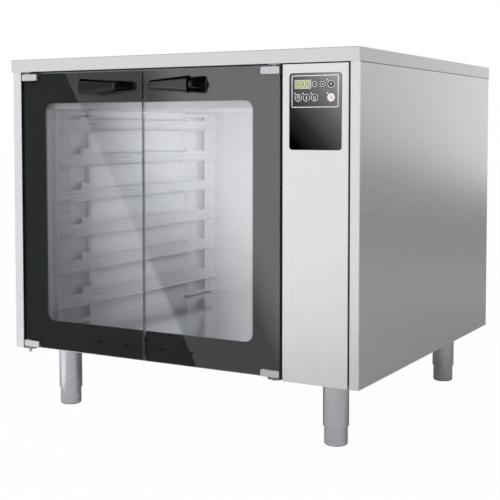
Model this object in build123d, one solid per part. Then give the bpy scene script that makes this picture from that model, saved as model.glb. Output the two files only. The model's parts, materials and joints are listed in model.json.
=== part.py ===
"""Two-door dough proofing cabinet on four adjustable legs, in millimetres.

The model is drawn with x from the middle of the cabinet, y from the front plane of the
doors (positive towards the rear) and z from the floor. Every piece is then moved along y
by ORIGIN_SHIFT, so that the finished part has its origin at the bottom centre of its box.
"""

from build123d import *

import os
from math import cos, pi, radians, sin

# ---------------------------------------------------------------- cabinet shell
CABINET_WIDTH = 935.0
CABINET_DEPTH = 882.0
LEG_HEIGHT = 150.0  # floor to the underside of the cabinet
BODY_HEIGHT = 686.0  # side panels, from their underside to the cover
COVER_HEIGHT = 30.0
COVER_FRONT_LIP = 6.0
COVER_SIDE_LIP = 1.0
COVER_REAR_LIP = 2.0
COVER_RETURN = 25.0  # folded under the cover all round
SHEET = 1.5  # outer stainless sheet
BEND = 2.0  # outside bend radius of the outer sheet
LEFT_FLANGE = 25.0
RIGHT_FLANGE = 22.5
REAR_FLANGE = 25.0
END_FLANGE = 15.0  # top and bottom flanges of the side panels
FRAME_SETBACK = 20.0  # front plane to the front frame, room for the hinge edge to swing
REAR_LAP = 12.0  # rear panel behind the rear flanges

# ---------------------------------------------------------------- proofing chamber
LINER_SHEET = 1.2
CHAMBER_SIDE_ROOM = 44.5  # sides of the doorway to the chamber
CHAMBER_REAR_ROOM = 42.5  # rear face of the cabinet to the chamber
CHAMBER_FLOOR_ROOM = 42.0
CHAMBER_HEAD_ROOM = 92.0
SILL_HEIGHT = 20.0  # front lip that keeps water on the chamber floor
FRAME_RETURN = 12.0

# ---------------------------------------------------------------- doors
DOOR_SIDE_GAP = 5.7
DOOR_END_GAP = 6.0  # above and below the doors
MEETING_GAP = 4.0
GLASS = 6.0
GLASS_ARRIS = 0.5
FRIT = 0.3  # fired black border on the inner face of the glass
FRIT_BORDER = 70.0
FRIT_HEAD = 71.0
WINDOW_RADIUS = 20.0
CLAMP_WIDTH = 46.0
CLAMP_HEIGHT = 15.5
CLAMP_PLATE = 3.0
CLAMP_CORE_WIDTH = 30.0
CLAMP_CORE_HEIGHT = 10.0
CLAMP_RADIUS = 3.0
PIVOT_INSET = 13.5  # hinge edge of the glass to the pivot
PIN_RADIUS = 4.0
PIN_CLEARANCE = 0.05
PIN_ENGAGED = 8.0  # length of pin held in the clamp
LEFT_PIN_TAIL = 9.0  # below the lower bracket
RIGHT_PIN_TAIL = 2.5
BRACKET = 3.0
BRACKET_WIDTH = 32.0
BRACKET_FRONT = 5.0  # reach in front of the door plane
BRACKET_REACH = 75.0
BRACKET_RADIUS = 6.0
BUSH_RADIUS = 6.5
BUSH_GAP = 0.3
CIRCLIP = 1.5
SEAL_WIDTH = 1.7
SEAL_TOP_DROP = 65.0  # the edge seals end below the handles

# ---------------------------------------------------------------- door furniture
HANDLE_PLATE = 4.0
HANDLE_PLATE_CHAMFER = 1.0
HANDLE_DROP = 34.25  # head of the door to the middle of the handle
PLATE_INNER = 18.0  # distances from the meeting line
PLATE_OUTER = 175.0
PLATE_INNER_HEIGHT = 21.0
PLATE_OUTER_HEIGHT = 38.0
PLATE_RADIUS = 9.0
GRIP_INNER = 47.0
GRIP_OUTER = 149.0
GRIP_INNER_HEIGHT = 20.5
GRIP_OUTER_HEIGHT = 39.0
GRIP_INNER_DEPTH = 14.0
GRIP_OUTER_DEPTH = 22.0
GRIP_PROUD = 45.0  # glass face to the front of the grip
GRIP_WALL = 3.0
GRIP_BORE_LENGTH = 60.0
GRIP_END_RADIUS = 4.5
GRIP_ROUNDING = 0.45  # corner radius as a share of the depth
POST_OUTER = 150.5
POST_OUTER_RADIUS = 8.5
POST_INNER = 58.0
POST_INNER_RADIUS = 6.0
DOOR_SCREW_RADIUS = 2.5
DOOR_SCREW_HOLE = 3.5
DOOR_SCREW_HEAD = 5.0
SCREW_HEAD_HEIGHT = 2.0
WASHER_RADIUS = 8.0
STRIKER_SCREWS = (51.5, 132.0)  # distances from the meeting line
STRIKER_RISE = 31.5  # foot of the door to the middle of the striker
STRIKER_MARGIN = 10.0
STRIKER_HEIGHT = 20.0
STRIKER_THICK = 2.0
STRIKER_SCREW_RADIUS = 1.6
STRIKER_SCREW_HOLE = 2.2
STRIKER_SCREW_HEAD = 2.8
STRIKER_SCREW_PROUD = 1.0
MAGNET_RADIUS = 8.0
MAGNET_GAP = 0.3
MAGNET_CHAMFER = 0.9
GASKET_WIDTH = 12.0
GASKET_SIDE_INSET = 2.0
GASKET_HEAD_INSET = 20.0
GASKET_SILL_INSET = 2.0
GASKET_RADIUS = 14.0
GASKET_CROWN = 4.0
GASKET_GAP = 0.3

# ---------------------------------------------------------------- tray racks
RACK_ROOM = 20.0  # wall of the chamber to the trays
TRAY_PLAY = 3.0
LEVELS = 6
FIRST_LEVEL_RISE = 49.0  # floor to the lowest runners
LAST_LEVEL_DROP = 53.0  # ceiling to the highest runners
RUNNER_WEB = 29.6
RUNNER_LEDGE = 19.0
RUNNER_END = 3.0  # set back from the outer edges of the posts
POST_FRONT = 29.0  # front of the chamber to the front post
POST_WIDTH = 142.0
POST_FOOT = 4.0
POST_HEAD = 2.0
RACK_SHEET = 1.2
POST_WINDOW_FROM = 51.0  # outer edge of a post to its windows
POST_WINDOW_WIDTH = 78.0
POST_WINDOW_MARGIN = 9.5
WINDOW_SHELF = 0.4  # runner web to the window edge above it
TAB_WIDTH = 34.0
TAB_HEIGHT = 17.0
HOOK_WIDTH = 20.0
HOOK_REACH = 4.6
HOOK_DROP = 9.0
HOOK = 2.4

# ---------------------------------------------------------------- air circulation
FAN_RADIUS = 85.0
FAN_HUB_RADIUS = 14.0
FAN_DEPTH = 34.0
FAN_EYE_RADIUS = 58.0
FAN_SHEET = 1.5
FAN_BLADES = 9
BLADE_ROOT_RADIUS = 33.6
BLADE_BOW = 12.0
BLADE_SWEEP = 20.0  # degrees
FAN_GAP = 8.0  # grille to the fan
SHAFT_RADIUS = 4.0
SHAFT_CLEARANCE = 0.05
SHAFT_IN_MOTOR = 26.0
SHAFT_END_ROOM = 1.0
PLENUM_SIZE = 340.0
PLENUM_DEPTH = 62.0
PLENUM_RIM = 12.0
PLENUM_RADIUS = 12.0
MOTOR_RADIUS = 42.0
MOTOR_LENGTH = 72.0
MOTOR_FLANGE_RADIUS = 50.0
MOTOR_FLANGE = 4.0
MOTOR_DOME_RADIUS = 10.5
MOTOR_RIBS = 24
MOTOR_RIB_LENGTH = 54.0
MOTOR_RIB_DEPTH = 3.0
MOTOR_RIB_WIDTH = 1.5
HEATER_RING_RADIUS = 112.0
HEATER_TUBE_RADIUS = 4.0
HEATER_DEPTH = 30.0
HEATER_OPEN_ANGLE = 30.0
HEATER_TERMINAL = 14.0
SUCTION_RADII = (22.0, 42.0, 62.0)
SUCTION_PITCH = 17.6  # from slot to slot along a ring
SUCTION_SLOT = (13.0, 5.0)
OUTLET_SLOT = (8.0, 30.0)
OUTLET_ROWS = 6
OUTLET_COLUMNS = 2
OUTLET_PITCH = (16.0, 44.0)
OUTLET_OFFSET = 142.0  # fan axis to the middle of the outlet slots

# ---------------------------------------------------------------- humidifier and lamp
PAN_WIDTH = 180.0
PAN_LENGTH = 280.0
PAN_DEPTH = 26.0
PAN_RIM = 10.0
PAN_RADIUS = 20.0
PAN_BEND = 6.0
PAN_FROM_RIGHT = 152.0
PAN_FROM_REAR = 200.0
PAN_SEAT = 0.4
PAN_HEATER = 4.0
PAN_HEATER_MARGIN = 12.0
PAN_HEATER_RADIUS = 10.0
LAMP_LENGTH = 300.0
LAMP_WIDTH = 40.0
LAMP_HOUSING = 18.0
LAMP_LENS = 5.0
LAMP_LENS_RADIUS = 2.5
LAMP_LENS_MARGIN = 8.0
LAMP_FROM_RIGHT = 47.0
LAMP_FROM_FRONT = 240.0

# ---------------------------------------------------------------- control column
FASCIA_WIDTH = 155.0
FASCIA_SIDE_GAP = 3.5
FASCIA_TOP_GAP = 2.5
OVERLAY_WIDTH = 121.7
OVERLAY_HEIGHT = 162.7
OVERLAY_LEFT = 17.5  # fascia edge to overlay edge
OVERLAY_TOP = 19.3  # fascia top to overlay top
OVERLAY_THICK = 2.0
OVERLAY_RADIUS = 7.0
OVERLAY_CHAMFER = 0.6
KEY_PITCH_X = 19.1
KEY_PITCH_Z = 28.0
KEY_RIGHT = 23.2  # right edge of the overlay to the right-hand keys
KEY_TOP = 24.2  # top edge of the overlay to the upper keys
KEY_RADIUS = 8.7
SMALL_KEY_RADIUS = 6.7
KEY_CLEARANCE = 0.25
KEY_PROUD = 0.4
KEY_COLLAR = 0.6
KEY_COLLAR_THICK = 1.5
KEY_STEM_RADIUS = 2.5
KEY_TRAVEL = 0.8
KEY_PLAY = 0.1
LED_OFFSET_X = 8.1
LED_OFFSET_Z = 8.9
LED_RADIUS = 1.8
LED_CLEARANCE = 0.2
LED_PROUD = 0.3
DISPLAY_WIDTH = 38.5
DISPLAY_HEIGHT = 18.7
DISPLAY_LEFT = 13.6  # overlay edge to the display
DISPLAY_TOP = 14.7
DISPLAY_CLEARANCE = 0.2
DISPLAY_BEZEL = 1.6
BOARD = 1.6
BOARD_SETBACK = 12.0
BOARD_MARGIN = 7.0  # board beyond the fascia cut-out
CUTOUT_MARGIN = 8.0
SWITCH = 6.0
SWITCH_HEIGHT = 1.5
STANDOFF_RADIUS = 2.5

# ---------------------------------------------------------------- legs and services
LEG_SIDE_INSET = 96.0
LEG_FRONT_INSET = 96.0
LEG_REAR_INSET = 81.0
LEG_RADIUS = 29.0
LEG_WALL = 1.5
LEG_CAP = 3.0
LEG_LIP = 9.0
FOOT_RADIUS = 26.3
FOOT_EXPOSED = 42.7
FOOT_INSIDE = 40.0
FOOT_WALL = 3.0
FOOT_SOLE = 6.0
FOOT_CHAMFER = 3.0
FOOT_CLEARANCE = 0.08
STUD_RADIUS = 8.0
STUD_LENGTH = 14.0
LEG_PLATE = 70.0
LEG_PLATE_THICK = 4.0
LOUVRE_ROWS = 11
LOUVRE_PITCH = 34.0
LOUVRE_LENGTH = 90.0
LOUVRE_OPENING = 7.0
LOUVRE_DEPTH = 6.0
LOUVRE_FROM_SIDE = 105.5
LOUVRE_RISE = 180.0  # underside of the cabinet to the lowest louvre
GLAND_FROM_SIDE = 72.5
GLAND_RISE = 55.0
GLAND_BORE = 6.5
GLAND_THREAD = 10.0
GLAND_HEX = 24.0
GLAND_PROUD = 22.0  # beyond the rear face of the cabinet
GLAND_NECK = 11.0
GLAND_COLLAR = 7.0
GLAND_DOME = 11.0
GLAND_DOME_RADIUS = 4.0
GLAND_NUT = 4.0
GLAND_INSIDE = 12.0
CHASSIS_WIDTH = 130.0
CHASSIS_LENGTH = 260.0
CHASSIS_THICK = 3.0
CHASSIS_FROM_SIDE = 92.5
CHASSIS_FROM_REAR = 292.0
TRANSFORMER_CORE = (70.0, 60.0, 58.0)  # width, length and height
TRANSFORMER_COIL = (92.0, 40.0, 34.0)
TRANSFORMER_LIFT = 12.0  # chassis to the coil
TRANSFORMER_PLACE = -80.0  # along y from the middle of the chassis, as the next two
CONTACTOR_PLACE = 7.5
TERMINAL_PLACE = 85.0
CONTACTOR = (48.0, 75.0, 80.0)
CONTACTOR_RADIUS = 3.0
TERMINAL_BLOCK = (90.0, 30.0, 34.0)
TERMINAL_POLES = 6
TERMINAL_PITCH = 15.0
TERMINAL_HOLE_RADIUS = 3.0
TERMINAL_HOLE_DEPTH = 14.0

# ---------------------------------------------------------------- derived places
BODY_LEFT = -CABINET_WIDTH / 2
BODY_RIGHT = CABINET_WIDTH / 2
BODY_BOTTOM = LEG_HEIGHT
BODY_TOP = BODY_BOTTOM + BODY_HEIGHT
REAR_FACE = CABINET_DEPTH
FRAME_BACK = FRAME_SETBACK + SHEET

FASCIA_RIGHT = BODY_RIGHT - RIGHT_FLANGE - FASCIA_SIDE_GAP
FASCIA_LEFT = FASCIA_RIGHT - FASCIA_WIDTH
FASCIA_TOP = BODY_TOP - FASCIA_TOP_GAP
DOORWAY_LEFT = BODY_LEFT + LEFT_FLANGE
DOORWAY_RIGHT = FASCIA_LEFT
MEETING_X = (DOORWAY_LEFT + DOORWAY_RIGHT) / 2
DOOR_LEFT = DOORWAY_LEFT + DOOR_SIDE_GAP
DOOR_MEETING = MEETING_X - MEETING_GAP / 2
DOOR_BOTTOM = BODY_BOTTOM + DOOR_END_GAP
DOOR_TOP = BODY_TOP - DOOR_END_GAP
PIVOT_X = DOOR_LEFT + PIVOT_INSET
PIVOT_Y = GLASS / 2
WINDOW_LEFT = DOOR_LEFT + FRIT_BORDER
WINDOW_BOTTOM = DOOR_BOTTOM + FRIT_BORDER
WINDOW_TOP = DOOR_TOP - FRIT_HEAD
HANDLE_Z = DOOR_TOP - HANDLE_DROP
STRIKER_Z = DOOR_BOTTOM + STRIKER_RISE

CHAMBER_LEFT = DOORWAY_LEFT + CHAMBER_SIDE_ROOM
CHAMBER_RIGHT = DOORWAY_RIGHT - CHAMBER_SIDE_ROOM
CHAMBER_FRONT = FRAME_BACK + FRAME_RETURN
CHAMBER_REAR = REAR_FACE - CHAMBER_REAR_ROOM
CHAMBER_FLOOR = BODY_BOTTOM + CHAMBER_FLOOR_ROOM
CHAMBER_TOP = BODY_TOP - CHAMBER_HEAD_ROOM
SILL_TOP = CHAMBER_FLOOR + SILL_HEIGHT

POST_Y = CHAMBER_FRONT + POST_FRONT
POST_DEPTH = RACK_ROOM - TRAY_PLAY - RACK_SHEET
FIRST_LEVEL = CHAMBER_FLOOR + FIRST_LEVEL_RISE
LAST_LEVEL = CHAMBER_TOP - LAST_LEVEL_DROP
FAN_Y = (CHAMBER_FRONT + CHAMBER_REAR) / 2
FAN_Z = (CHAMBER_FLOOR + CHAMBER_TOP) / 2
COLUMN_LEFT = CHAMBER_RIGHT + LINER_SHEET
PLENUM_BACK = COLUMN_LEFT + PLENUM_DEPTH
FAN_FACE = COLUMN_LEFT + FAN_GAP
PAN_X = CHAMBER_RIGHT - PAN_FROM_RIGHT
PAN_Y = CHAMBER_REAR - PAN_FROM_REAR
LAMP_X = CHAMBER_RIGHT - LAMP_FROM_RIGHT
LAMP_Y = CHAMBER_FRONT + LAMP_FROM_FRONT

LOUVRE_X = BODY_RIGHT - LOUVRE_FROM_SIDE
GLAND_X = BODY_RIGHT - GLAND_FROM_SIDE
GLAND_Z = BODY_BOTTOM + GLAND_RISE
CHASSIS_X = BODY_RIGHT - CHASSIS_FROM_SIDE
CHASSIS_Y = REAR_FACE - CHASSIS_FROM_REAR

OVERLAY_X = FASCIA_LEFT + OVERLAY_LEFT
OVERLAY_Z = FASCIA_TOP - OVERLAY_TOP - OVERLAY_HEIGHT
OVERLAY_HEAD = OVERLAY_Z + OVERLAY_HEIGHT
KEY_X = OVERLAY_X + OVERLAY_WIDTH - KEY_RIGHT
KEY_Z = OVERLAY_HEAD - KEY_TOP
KEY_FRONT = -OVERLAY_THICK - KEY_PROUD
KEY_STEM_END = BOARD_SETBACK - SWITCH_HEIGHT - KEY_TRAVEL - KEY_PLAY
DISPLAY_X = OVERLAY_X + DISPLAY_LEFT
DISPLAY_Z = OVERLAY_HEAD - DISPLAY_TOP - DISPLAY_HEIGHT
CUTOUT_LEFT = DISPLAY_X - CUTOUT_MARGIN / 2
CUTOUT_RIGHT = KEY_X + KEY_RADIUS + CUTOUT_MARGIN / 2
CUTOUT_BOTTOM = KEY_Z - KEY_PITCH_Z - KEY_RADIUS - CUTOUT_MARGIN
CUTOUT_TOP = KEY_Z + KEY_RADIUS + CUTOUT_MARGIN

# name: columns left of the right-hand key, rows down, radius, has an indicator light
KEYS = {
    "key_less": (2, 0, SMALL_KEY_RADIUS, False),
    "key_more": (1, 0, SMALL_KEY_RADIUS, False),
    "key_humidity": (0, 0, KEY_RADIUS, True),
    "key_timer": (4, 1, KEY_RADIUS, True),
    "key_temperature": (3, 1, KEY_RADIUS, True),
    "key_steam": (2, 1, KEY_RADIUS, True),
    "key_power": (0, 1, KEY_RADIUS, True),
}
LEGS = {
    "foot_front_left": (BODY_LEFT + LEG_SIDE_INSET, LEG_FRONT_INSET),
    "foot_front_right": (BODY_RIGHT - LEG_SIDE_INSET, LEG_FRONT_INSET),
    "foot_rear_left": (BODY_LEFT + LEG_SIDE_INSET, REAR_FACE - LEG_REAR_INSET),
    "foot_rear_right": (BODY_RIGHT - LEG_SIDE_INSET, REAR_FACE - LEG_REAR_INSET),
}
ORIGIN_SHIFT = (GRIP_PROUD - REAR_FACE - GLAND_PROUD) / 2


# ---------------------------------------------------------------- drawing helpers
def block(x0, x1, y0, y1, z0, z1):
    """A box between two corners."""
    middle = Pos((x0 + x1) / 2, (y0 + y1) / 2, (z0 + z1) / 2)
    return middle * Box(x1 - x0, y1 - y0, z1 - z0)


def folded(points, height, thickness=SHEET, radius=BEND, side=Side.RIGHT):
    """A bent sheet: the outer line of its cross-section, standing on z = 0."""
    line = FilletPolyline(*points, radius=radius)
    return extrude(make_face(offset(line, thickness, side=side, closed=True)), height)


def facing(x, z, y=0.0):
    """A drawing plane that faces the front: its x is x, its y is z, extruding to the rear."""
    return Plane(origin=(x, y, z), x_dir=(1, 0, 0), z_dir=(0, -1, 0))


def to_rear(sketch, y0, y1, x=0.0, z=0.0):
    """Extrudes a sketch drawn in x and z from y0 back to y1."""
    return extrude(facing(x, z, y0) * sketch, -(y1 - y0))


def peg(x, z, radius, y0, y1):
    """A round bar along y."""
    return to_rear(Circle(radius), y0, y1, x, z)


def side_peg(y, z, radius, x0, x1):
    """A round bar along x."""
    return Plane(origin=(x0, y, z), z_dir=(1, 0, 0)) * extrude(Circle(radius), x1 - x0)


def post(x, y, radius, z0, z1):
    """A round bar along z."""
    return Pos(x, y, z0) * extrude(Circle(radius), z1 - z0)


def right_twin(part):
    """The same piece on the right-hand door, or on the right-hand wall of the chamber."""
    return part.mirror(Plane(origin=(MEETING_X, 0, 0), z_dir=(1, 0, 0)))


def rear_twin(part):
    """The same piece at the other end of the chamber's depth."""
    return part.mirror(Plane(origin=(0, FAN_Y, 0), z_dir=(0, 1, 0)))


def group(parts):
    """Separate solids kept together under one name."""
    return Compound([solid for part in parts for solid in part.solids()])


def upright_edges(part):
    return part.edges().filter_by(Axis.Z)


# ---------------------------------------------------------------- outer shell
def make_top_cover():
    """Folded tray upside down: a flat top, four skirts and a return under each."""
    x0, x1 = BODY_LEFT - COVER_SIDE_LIP, BODY_RIGHT + COVER_SIDE_LIP
    y0, y1 = -COVER_FRONT_LIP, REAR_FACE + COVER_REAR_LIP
    z0, z1 = BODY_TOP, BODY_TOP + COVER_HEIGHT
    skin = block(x0, x1, y0, y1, z0, z1)
    skin = fillet(upright_edges(skin), BEND)
    skin = fillet(skin.faces().sort_by(Axis.Z)[-1].edges(), BEND)
    hollow = block(x0 + SHEET, x1 - SHEET, y0 + SHEET, y1 - SHEET, z0 + SHEET, z1 - SHEET)
    mouth = block(x0 + COVER_RETURN, x1 - COVER_RETURN, y0 + COVER_RETURN, y1 - COVER_RETURN,
                  z0, z0 + SHEET)
    return skin - hollow - mouth


def side_panel(outer, inner_front, inner_rear, side):
    """A side wall with its front and rear flanges, and flanges at its head and foot."""
    outline = [(inner_front, FRAME_SETBACK), (inner_front, 0), (outer, 0),
               (outer, REAR_FACE), (inner_rear, REAR_FACE)]
    wall = Pos(0, 0, BODY_BOTTOM) * folded(outline, BODY_HEIGHT, side=side)
    inward = 1 if inner_front > outer else -1
    x0, x1 = sorted((outer + inward * SHEET, outer + inward * END_FLANGE))
    for z in (BODY_BOTTOM, BODY_TOP - SHEET):
        wall += block(x0, x1, SHEET, REAR_FACE - SHEET, z, z + SHEET)
    return wall


def make_left_side_panel():
    return side_panel(BODY_LEFT, DOORWAY_LEFT, BODY_LEFT + REAR_FLANGE, Side.RIGHT)


def make_right_side_panel():
    return side_panel(BODY_RIGHT, BODY_RIGHT - RIGHT_FLANGE, BODY_RIGHT - REAR_FLANGE,
                      Side.LEFT)


def louvre(z):
    """One pressed hood, open downwards, with the slot that it was cut from."""
    half = LOUVRE_LENGTH / 2
    sweep = Polyline((0, 0), (LOUVRE_DEPTH, 0), (0, LOUVRE_OPENING * 2), close=True)
    side = Plane(origin=(LOUVRE_X - half, REAR_FACE - SHEET, z), x_dir=(0, 1, 0),
                 z_dir=(1, 0, 0))
    hood = extrude(side * make_face(sweep), LOUVRE_LENGTH)
    inner = Polyline((-SHEET, 0), (LOUVRE_DEPTH - SHEET, 0), (-SHEET, LOUVRE_OPENING * 2 - SHEET),
                     close=True)
    plane = Plane(origin=(LOUVRE_X - half + SHEET, REAR_FACE - SHEET, z), x_dir=(0, 1, 0),
                  z_dir=(1, 0, 0))
    return hood, extrude(plane * make_face(inner), LOUVRE_LENGTH - 2 * SHEET)


def make_rear_panel():
    """Sheet lapped inside the rear flanges, louvred behind the control column."""
    x0 = BODY_LEFT + REAR_FLANGE - REAR_LAP
    y1 = REAR_FACE - SHEET
    panel = block(x0, -x0, y1 - SHEET, y1, BODY_BOTTOM + SHEET, BODY_TOP - SHEET)
    for row in range(LOUVRE_ROWS):
        hood, hollow = louvre(BODY_BOTTOM + LOUVRE_RISE + row * LOUVRE_PITCH)
        panel = panel + hood - hollow
    return panel - peg(GLAND_X, GLAND_Z, GLAND_THREAD, y1 - 2 * SHEET, REAR_FACE)


def make_base_panel():
    """Bottom sheet between the side panels' foot flanges, with a hole over each leg."""
    x1 = BODY_RIGHT - END_FLANGE
    base = block(-x1, x1, FRAME_BACK, REAR_FACE - SHEET, BODY_BOTTOM, BODY_BOTTOM + SHEET)
    for x, y in LEGS.values():
        base -= post(x, y, STUD_RADIUS, BODY_BOTTOM, BODY_BOTTOM + SHEET)
    return base


# ---------------------------------------------------------------- door frame and liner
def bracket_places():
    """Left edge of each hinge bracket."""
    left = PIVOT_X - BRACKET_WIDTH / 2
    right = 2 * MEETING_X - PIVOT_X - BRACKET_WIDTH / 2
    return left, right


def make_front_frame():
    """Full-width front sheet with a flanged doorway and notches for the hinge brackets."""
    side = BODY_RIGHT - SHEET
    frame = block(-side, side, FRAME_SETBACK, FRAME_BACK, BODY_BOTTOM + SHEET, BODY_TOP - SHEET)
    collar = block(CHAMBER_LEFT - LINER_SHEET, CHAMBER_RIGHT + LINER_SHEET, FRAME_BACK,
                   CHAMBER_FRONT, SILL_TOP - LINER_SHEET, CHAMBER_TOP + LINER_SHEET)
    doorway = block(CHAMBER_LEFT, CHAMBER_RIGHT, FRAME_SETBACK, CHAMBER_FRONT, SILL_TOP,
                    CHAMBER_TOP)
    frame = frame + collar - doorway
    for x in bracket_places():
        for z in (BODY_BOTTOM + SHEET, BODY_TOP - BRACKET):
            frame -= block(x, x + BRACKET_WIDTH, FRAME_SETBACK, FRAME_BACK, z, z + BRACKET)
    return frame


def make_door_gasket():
    """Bulb seal round the doorway; both doors close on it."""
    x0 = CHAMBER_LEFT - GASKET_SIDE_INSET - GASKET_WIDTH
    x1 = CHAMBER_RIGHT + GASKET_SIDE_INSET + GASKET_WIDTH
    z0 = SILL_TOP - GASKET_SILL_INSET - GASKET_WIDTH
    z1 = CHAMBER_TOP + GASKET_HEAD_INSET + GASKET_WIDTH
    y0 = GLASS + FRIT + GASKET_GAP
    middle_x, middle_z = (x0 + x1) / 2, (z0 + z1) / 2
    ring = RectangleRounded(x1 - x0, z1 - z0, GASKET_RADIUS)
    ring -= RectangleRounded(x1 - x0 - 2 * GASKET_WIDTH, z1 - z0 - 2 * GASKET_WIDTH,
                             GASKET_RADIUS - GASKET_WIDTH)
    seal = to_rear(ring, y0, FRAME_SETBACK, middle_x, middle_z)
    front = seal.faces().sort_by(Axis.Y)[0]
    return chamfer(front.edges(), GASKET_CROWN)


def make_liner_floor():
    """Watertight floor with a front lip and the cut-out for the water pan."""
    x0, x1 = CHAMBER_LEFT - LINER_SHEET, CHAMBER_RIGHT + LINER_SHEET
    y1 = CHAMBER_REAR + LINER_SHEET
    floor = block(x0, x1, CHAMBER_FRONT, y1, CHAMBER_FLOOR - LINER_SHEET, CHAMBER_FLOOR)
    floor += block(CHAMBER_LEFT, CHAMBER_RIGHT, CHAMBER_FRONT, CHAMBER_FRONT + LINER_SHEET,
                   CHAMBER_FLOOR, SILL_TOP)
    hole = RectangleRounded(PAN_WIDTH + 2 * PAN_SEAT, PAN_LENGTH + 2 * PAN_SEAT, PAN_RADIUS)
    return floor - Pos(PAN_X, PAN_Y, CHAMBER_FLOOR - LINER_SHEET) * extrude(hole, LINER_SHEET)


def make_liner_ceiling():
    x0, x1 = CHAMBER_LEFT - LINER_SHEET, CHAMBER_RIGHT + LINER_SHEET
    y1 = CHAMBER_REAR + LINER_SHEET
    sheet = block(x0, x1, CHAMBER_FRONT, y1, CHAMBER_TOP, CHAMBER_TOP + LINER_SHEET)
    hole = Pos(LAMP_X, LAMP_Y, CHAMBER_TOP) * extrude(
        RectangleRounded(LAMP_WIDTH - 2 * LAMP_LENS_MARGIN, LAMP_LENGTH - 2 * LAMP_LENS_MARGIN,
                         LAMP_LENS_MARGIN), LINER_SHEET)
    return sheet - hole


def make_liner_left_wall():
    return block(CHAMBER_LEFT - LINER_SHEET, CHAMBER_LEFT, CHAMBER_FRONT, CHAMBER_REAR,
                 CHAMBER_FLOOR, CHAMBER_TOP)


def make_liner_back_wall():
    return block(CHAMBER_LEFT - LINER_SHEET, CHAMBER_RIGHT + LINER_SHEET, CHAMBER_REAR,
                 CHAMBER_REAR + LINER_SHEET, CHAMBER_FLOOR, CHAMBER_TOP)


def make_liner_right_wall():
    """Wall in front of the fan: rings of suction slots and columns of outlet slots."""
    wall = block(CHAMBER_RIGHT, COLUMN_LEFT, CHAMBER_FRONT, CHAMBER_REAR, CHAMBER_FLOOR,
                 CHAMBER_TOP)
    slots = Sketch()
    for radius in SUCTION_RADII:
        count = round(2 * pi * radius / SUCTION_PITCH)
        slots += PolarLocations(radius, count) * Rectangle(SUCTION_SLOT[1], SUCTION_SLOT[0])
    columns = GridLocations(OUTLET_PITCH[0], OUTLET_PITCH[1], OUTLET_COLUMNS, OUTLET_ROWS)
    for side in (-1, 1):
        slots += Pos(side * OUTLET_OFFSET, 0) * columns * Rectangle(*OUTLET_SLOT)
    plane = Plane(origin=(CHAMBER_RIGHT, FAN_Y, FAN_Z), x_dir=(0, 1, 0), z_dir=(1, 0, 0))
    return wall - extrude(plane * slots, LINER_SHEET)


# ---------------------------------------------------------------- tray racks
def level_height(level):
    """Underside of a runner."""
    return FIRST_LEVEL + level * (LAST_LEVEL - FIRST_LEVEL) / (LEVELS - 1)


def rack_post():
    """Front post of the left rack: a channel against the wall, with a window per level."""
    outer = CHAMBER_LEFT + POST_DEPTH
    y1 = POST_Y + POST_WIDTH
    z0, z1 = CHAMBER_FLOOR + POST_FOOT, CHAMBER_TOP - POST_HEAD
    outline = [(CHAMBER_LEFT, POST_Y), (outer, POST_Y), (outer, y1), (CHAMBER_LEFT, y1)]
    channel = Pos(0, 0, z0) * folded(outline, z1 - z0, RACK_SHEET, BEND, Side.LEFT)
    w0 = POST_Y + POST_WINDOW_FROM
    w1 = w0 + POST_WINDOW_WIDTH
    for level in range(-1, LEVELS):
        bottom = max(level_height(level) + RUNNER_WEB + WINDOW_SHELF, z0 + POST_WINDOW_MARGIN)
        top = min(level_height(level + 1), z1 - POST_WINDOW_MARGIN)
        channel -= block(outer - RACK_SHEET, outer, w0, w1, bottom, top)
    return channel


def make_left_rack_posts():
    front = rack_post()
    return group([front, rear_twin(front)])


def runner(level):
    """An angle that carries the trays, with a hooked tab for each post."""
    web = CHAMBER_LEFT + POST_DEPTH
    z = level_height(level)
    y0, y1 = POST_Y + RUNNER_END, 2 * FAN_Y - POST_Y - RUNNER_END
    angle = block(web, web + RACK_SHEET, y0, y1, z, z + RUNNER_WEB)
    angle += block(web, web + RUNNER_LEDGE, y0, y1, z, z + RACK_SHEET)
    t1 = POST_Y + POST_WINDOW_FROM + POST_WINDOW_WIDTH
    t0 = t1 - TAB_WIDTH
    shelf = z + RUNNER_WEB + WINDOW_SHELF
    tab = block(web, web + RACK_SHEET, t0, t1, z + RUNNER_WEB, z + RUNNER_WEB + TAB_HEIGHT)
    h0 = (t0 + t1 - HOOK_WIDTH) / 2
    back = web - HOOK_REACH
    tab += block(back, web, h0, h0 + HOOK_WIDTH, shelf, shelf + HOOK)
    tab += block(back, back + HOOK, h0, h0 + HOOK_WIDTH, shelf - HOOK_DROP, shelf + HOOK)
    if level == LEVELS - 1:
        tab = tab & block(back, web + RACK_SHEET, t0, t1, z, CHAMBER_TOP - TAB_HEIGHT)
    return angle + tab + rear_twin(tab)


def make_left_tray_runners():
    return group([runner(level) for level in range(LEVELS)])


# ---------------------------------------------------------------- air circulation
def fan_plane(x):
    """A plane square to the fan's axis."""
    return Plane(origin=(x, FAN_Y, FAN_Z), x_dir=(0, 1, 0), z_dir=(1, 0, 0))


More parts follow.
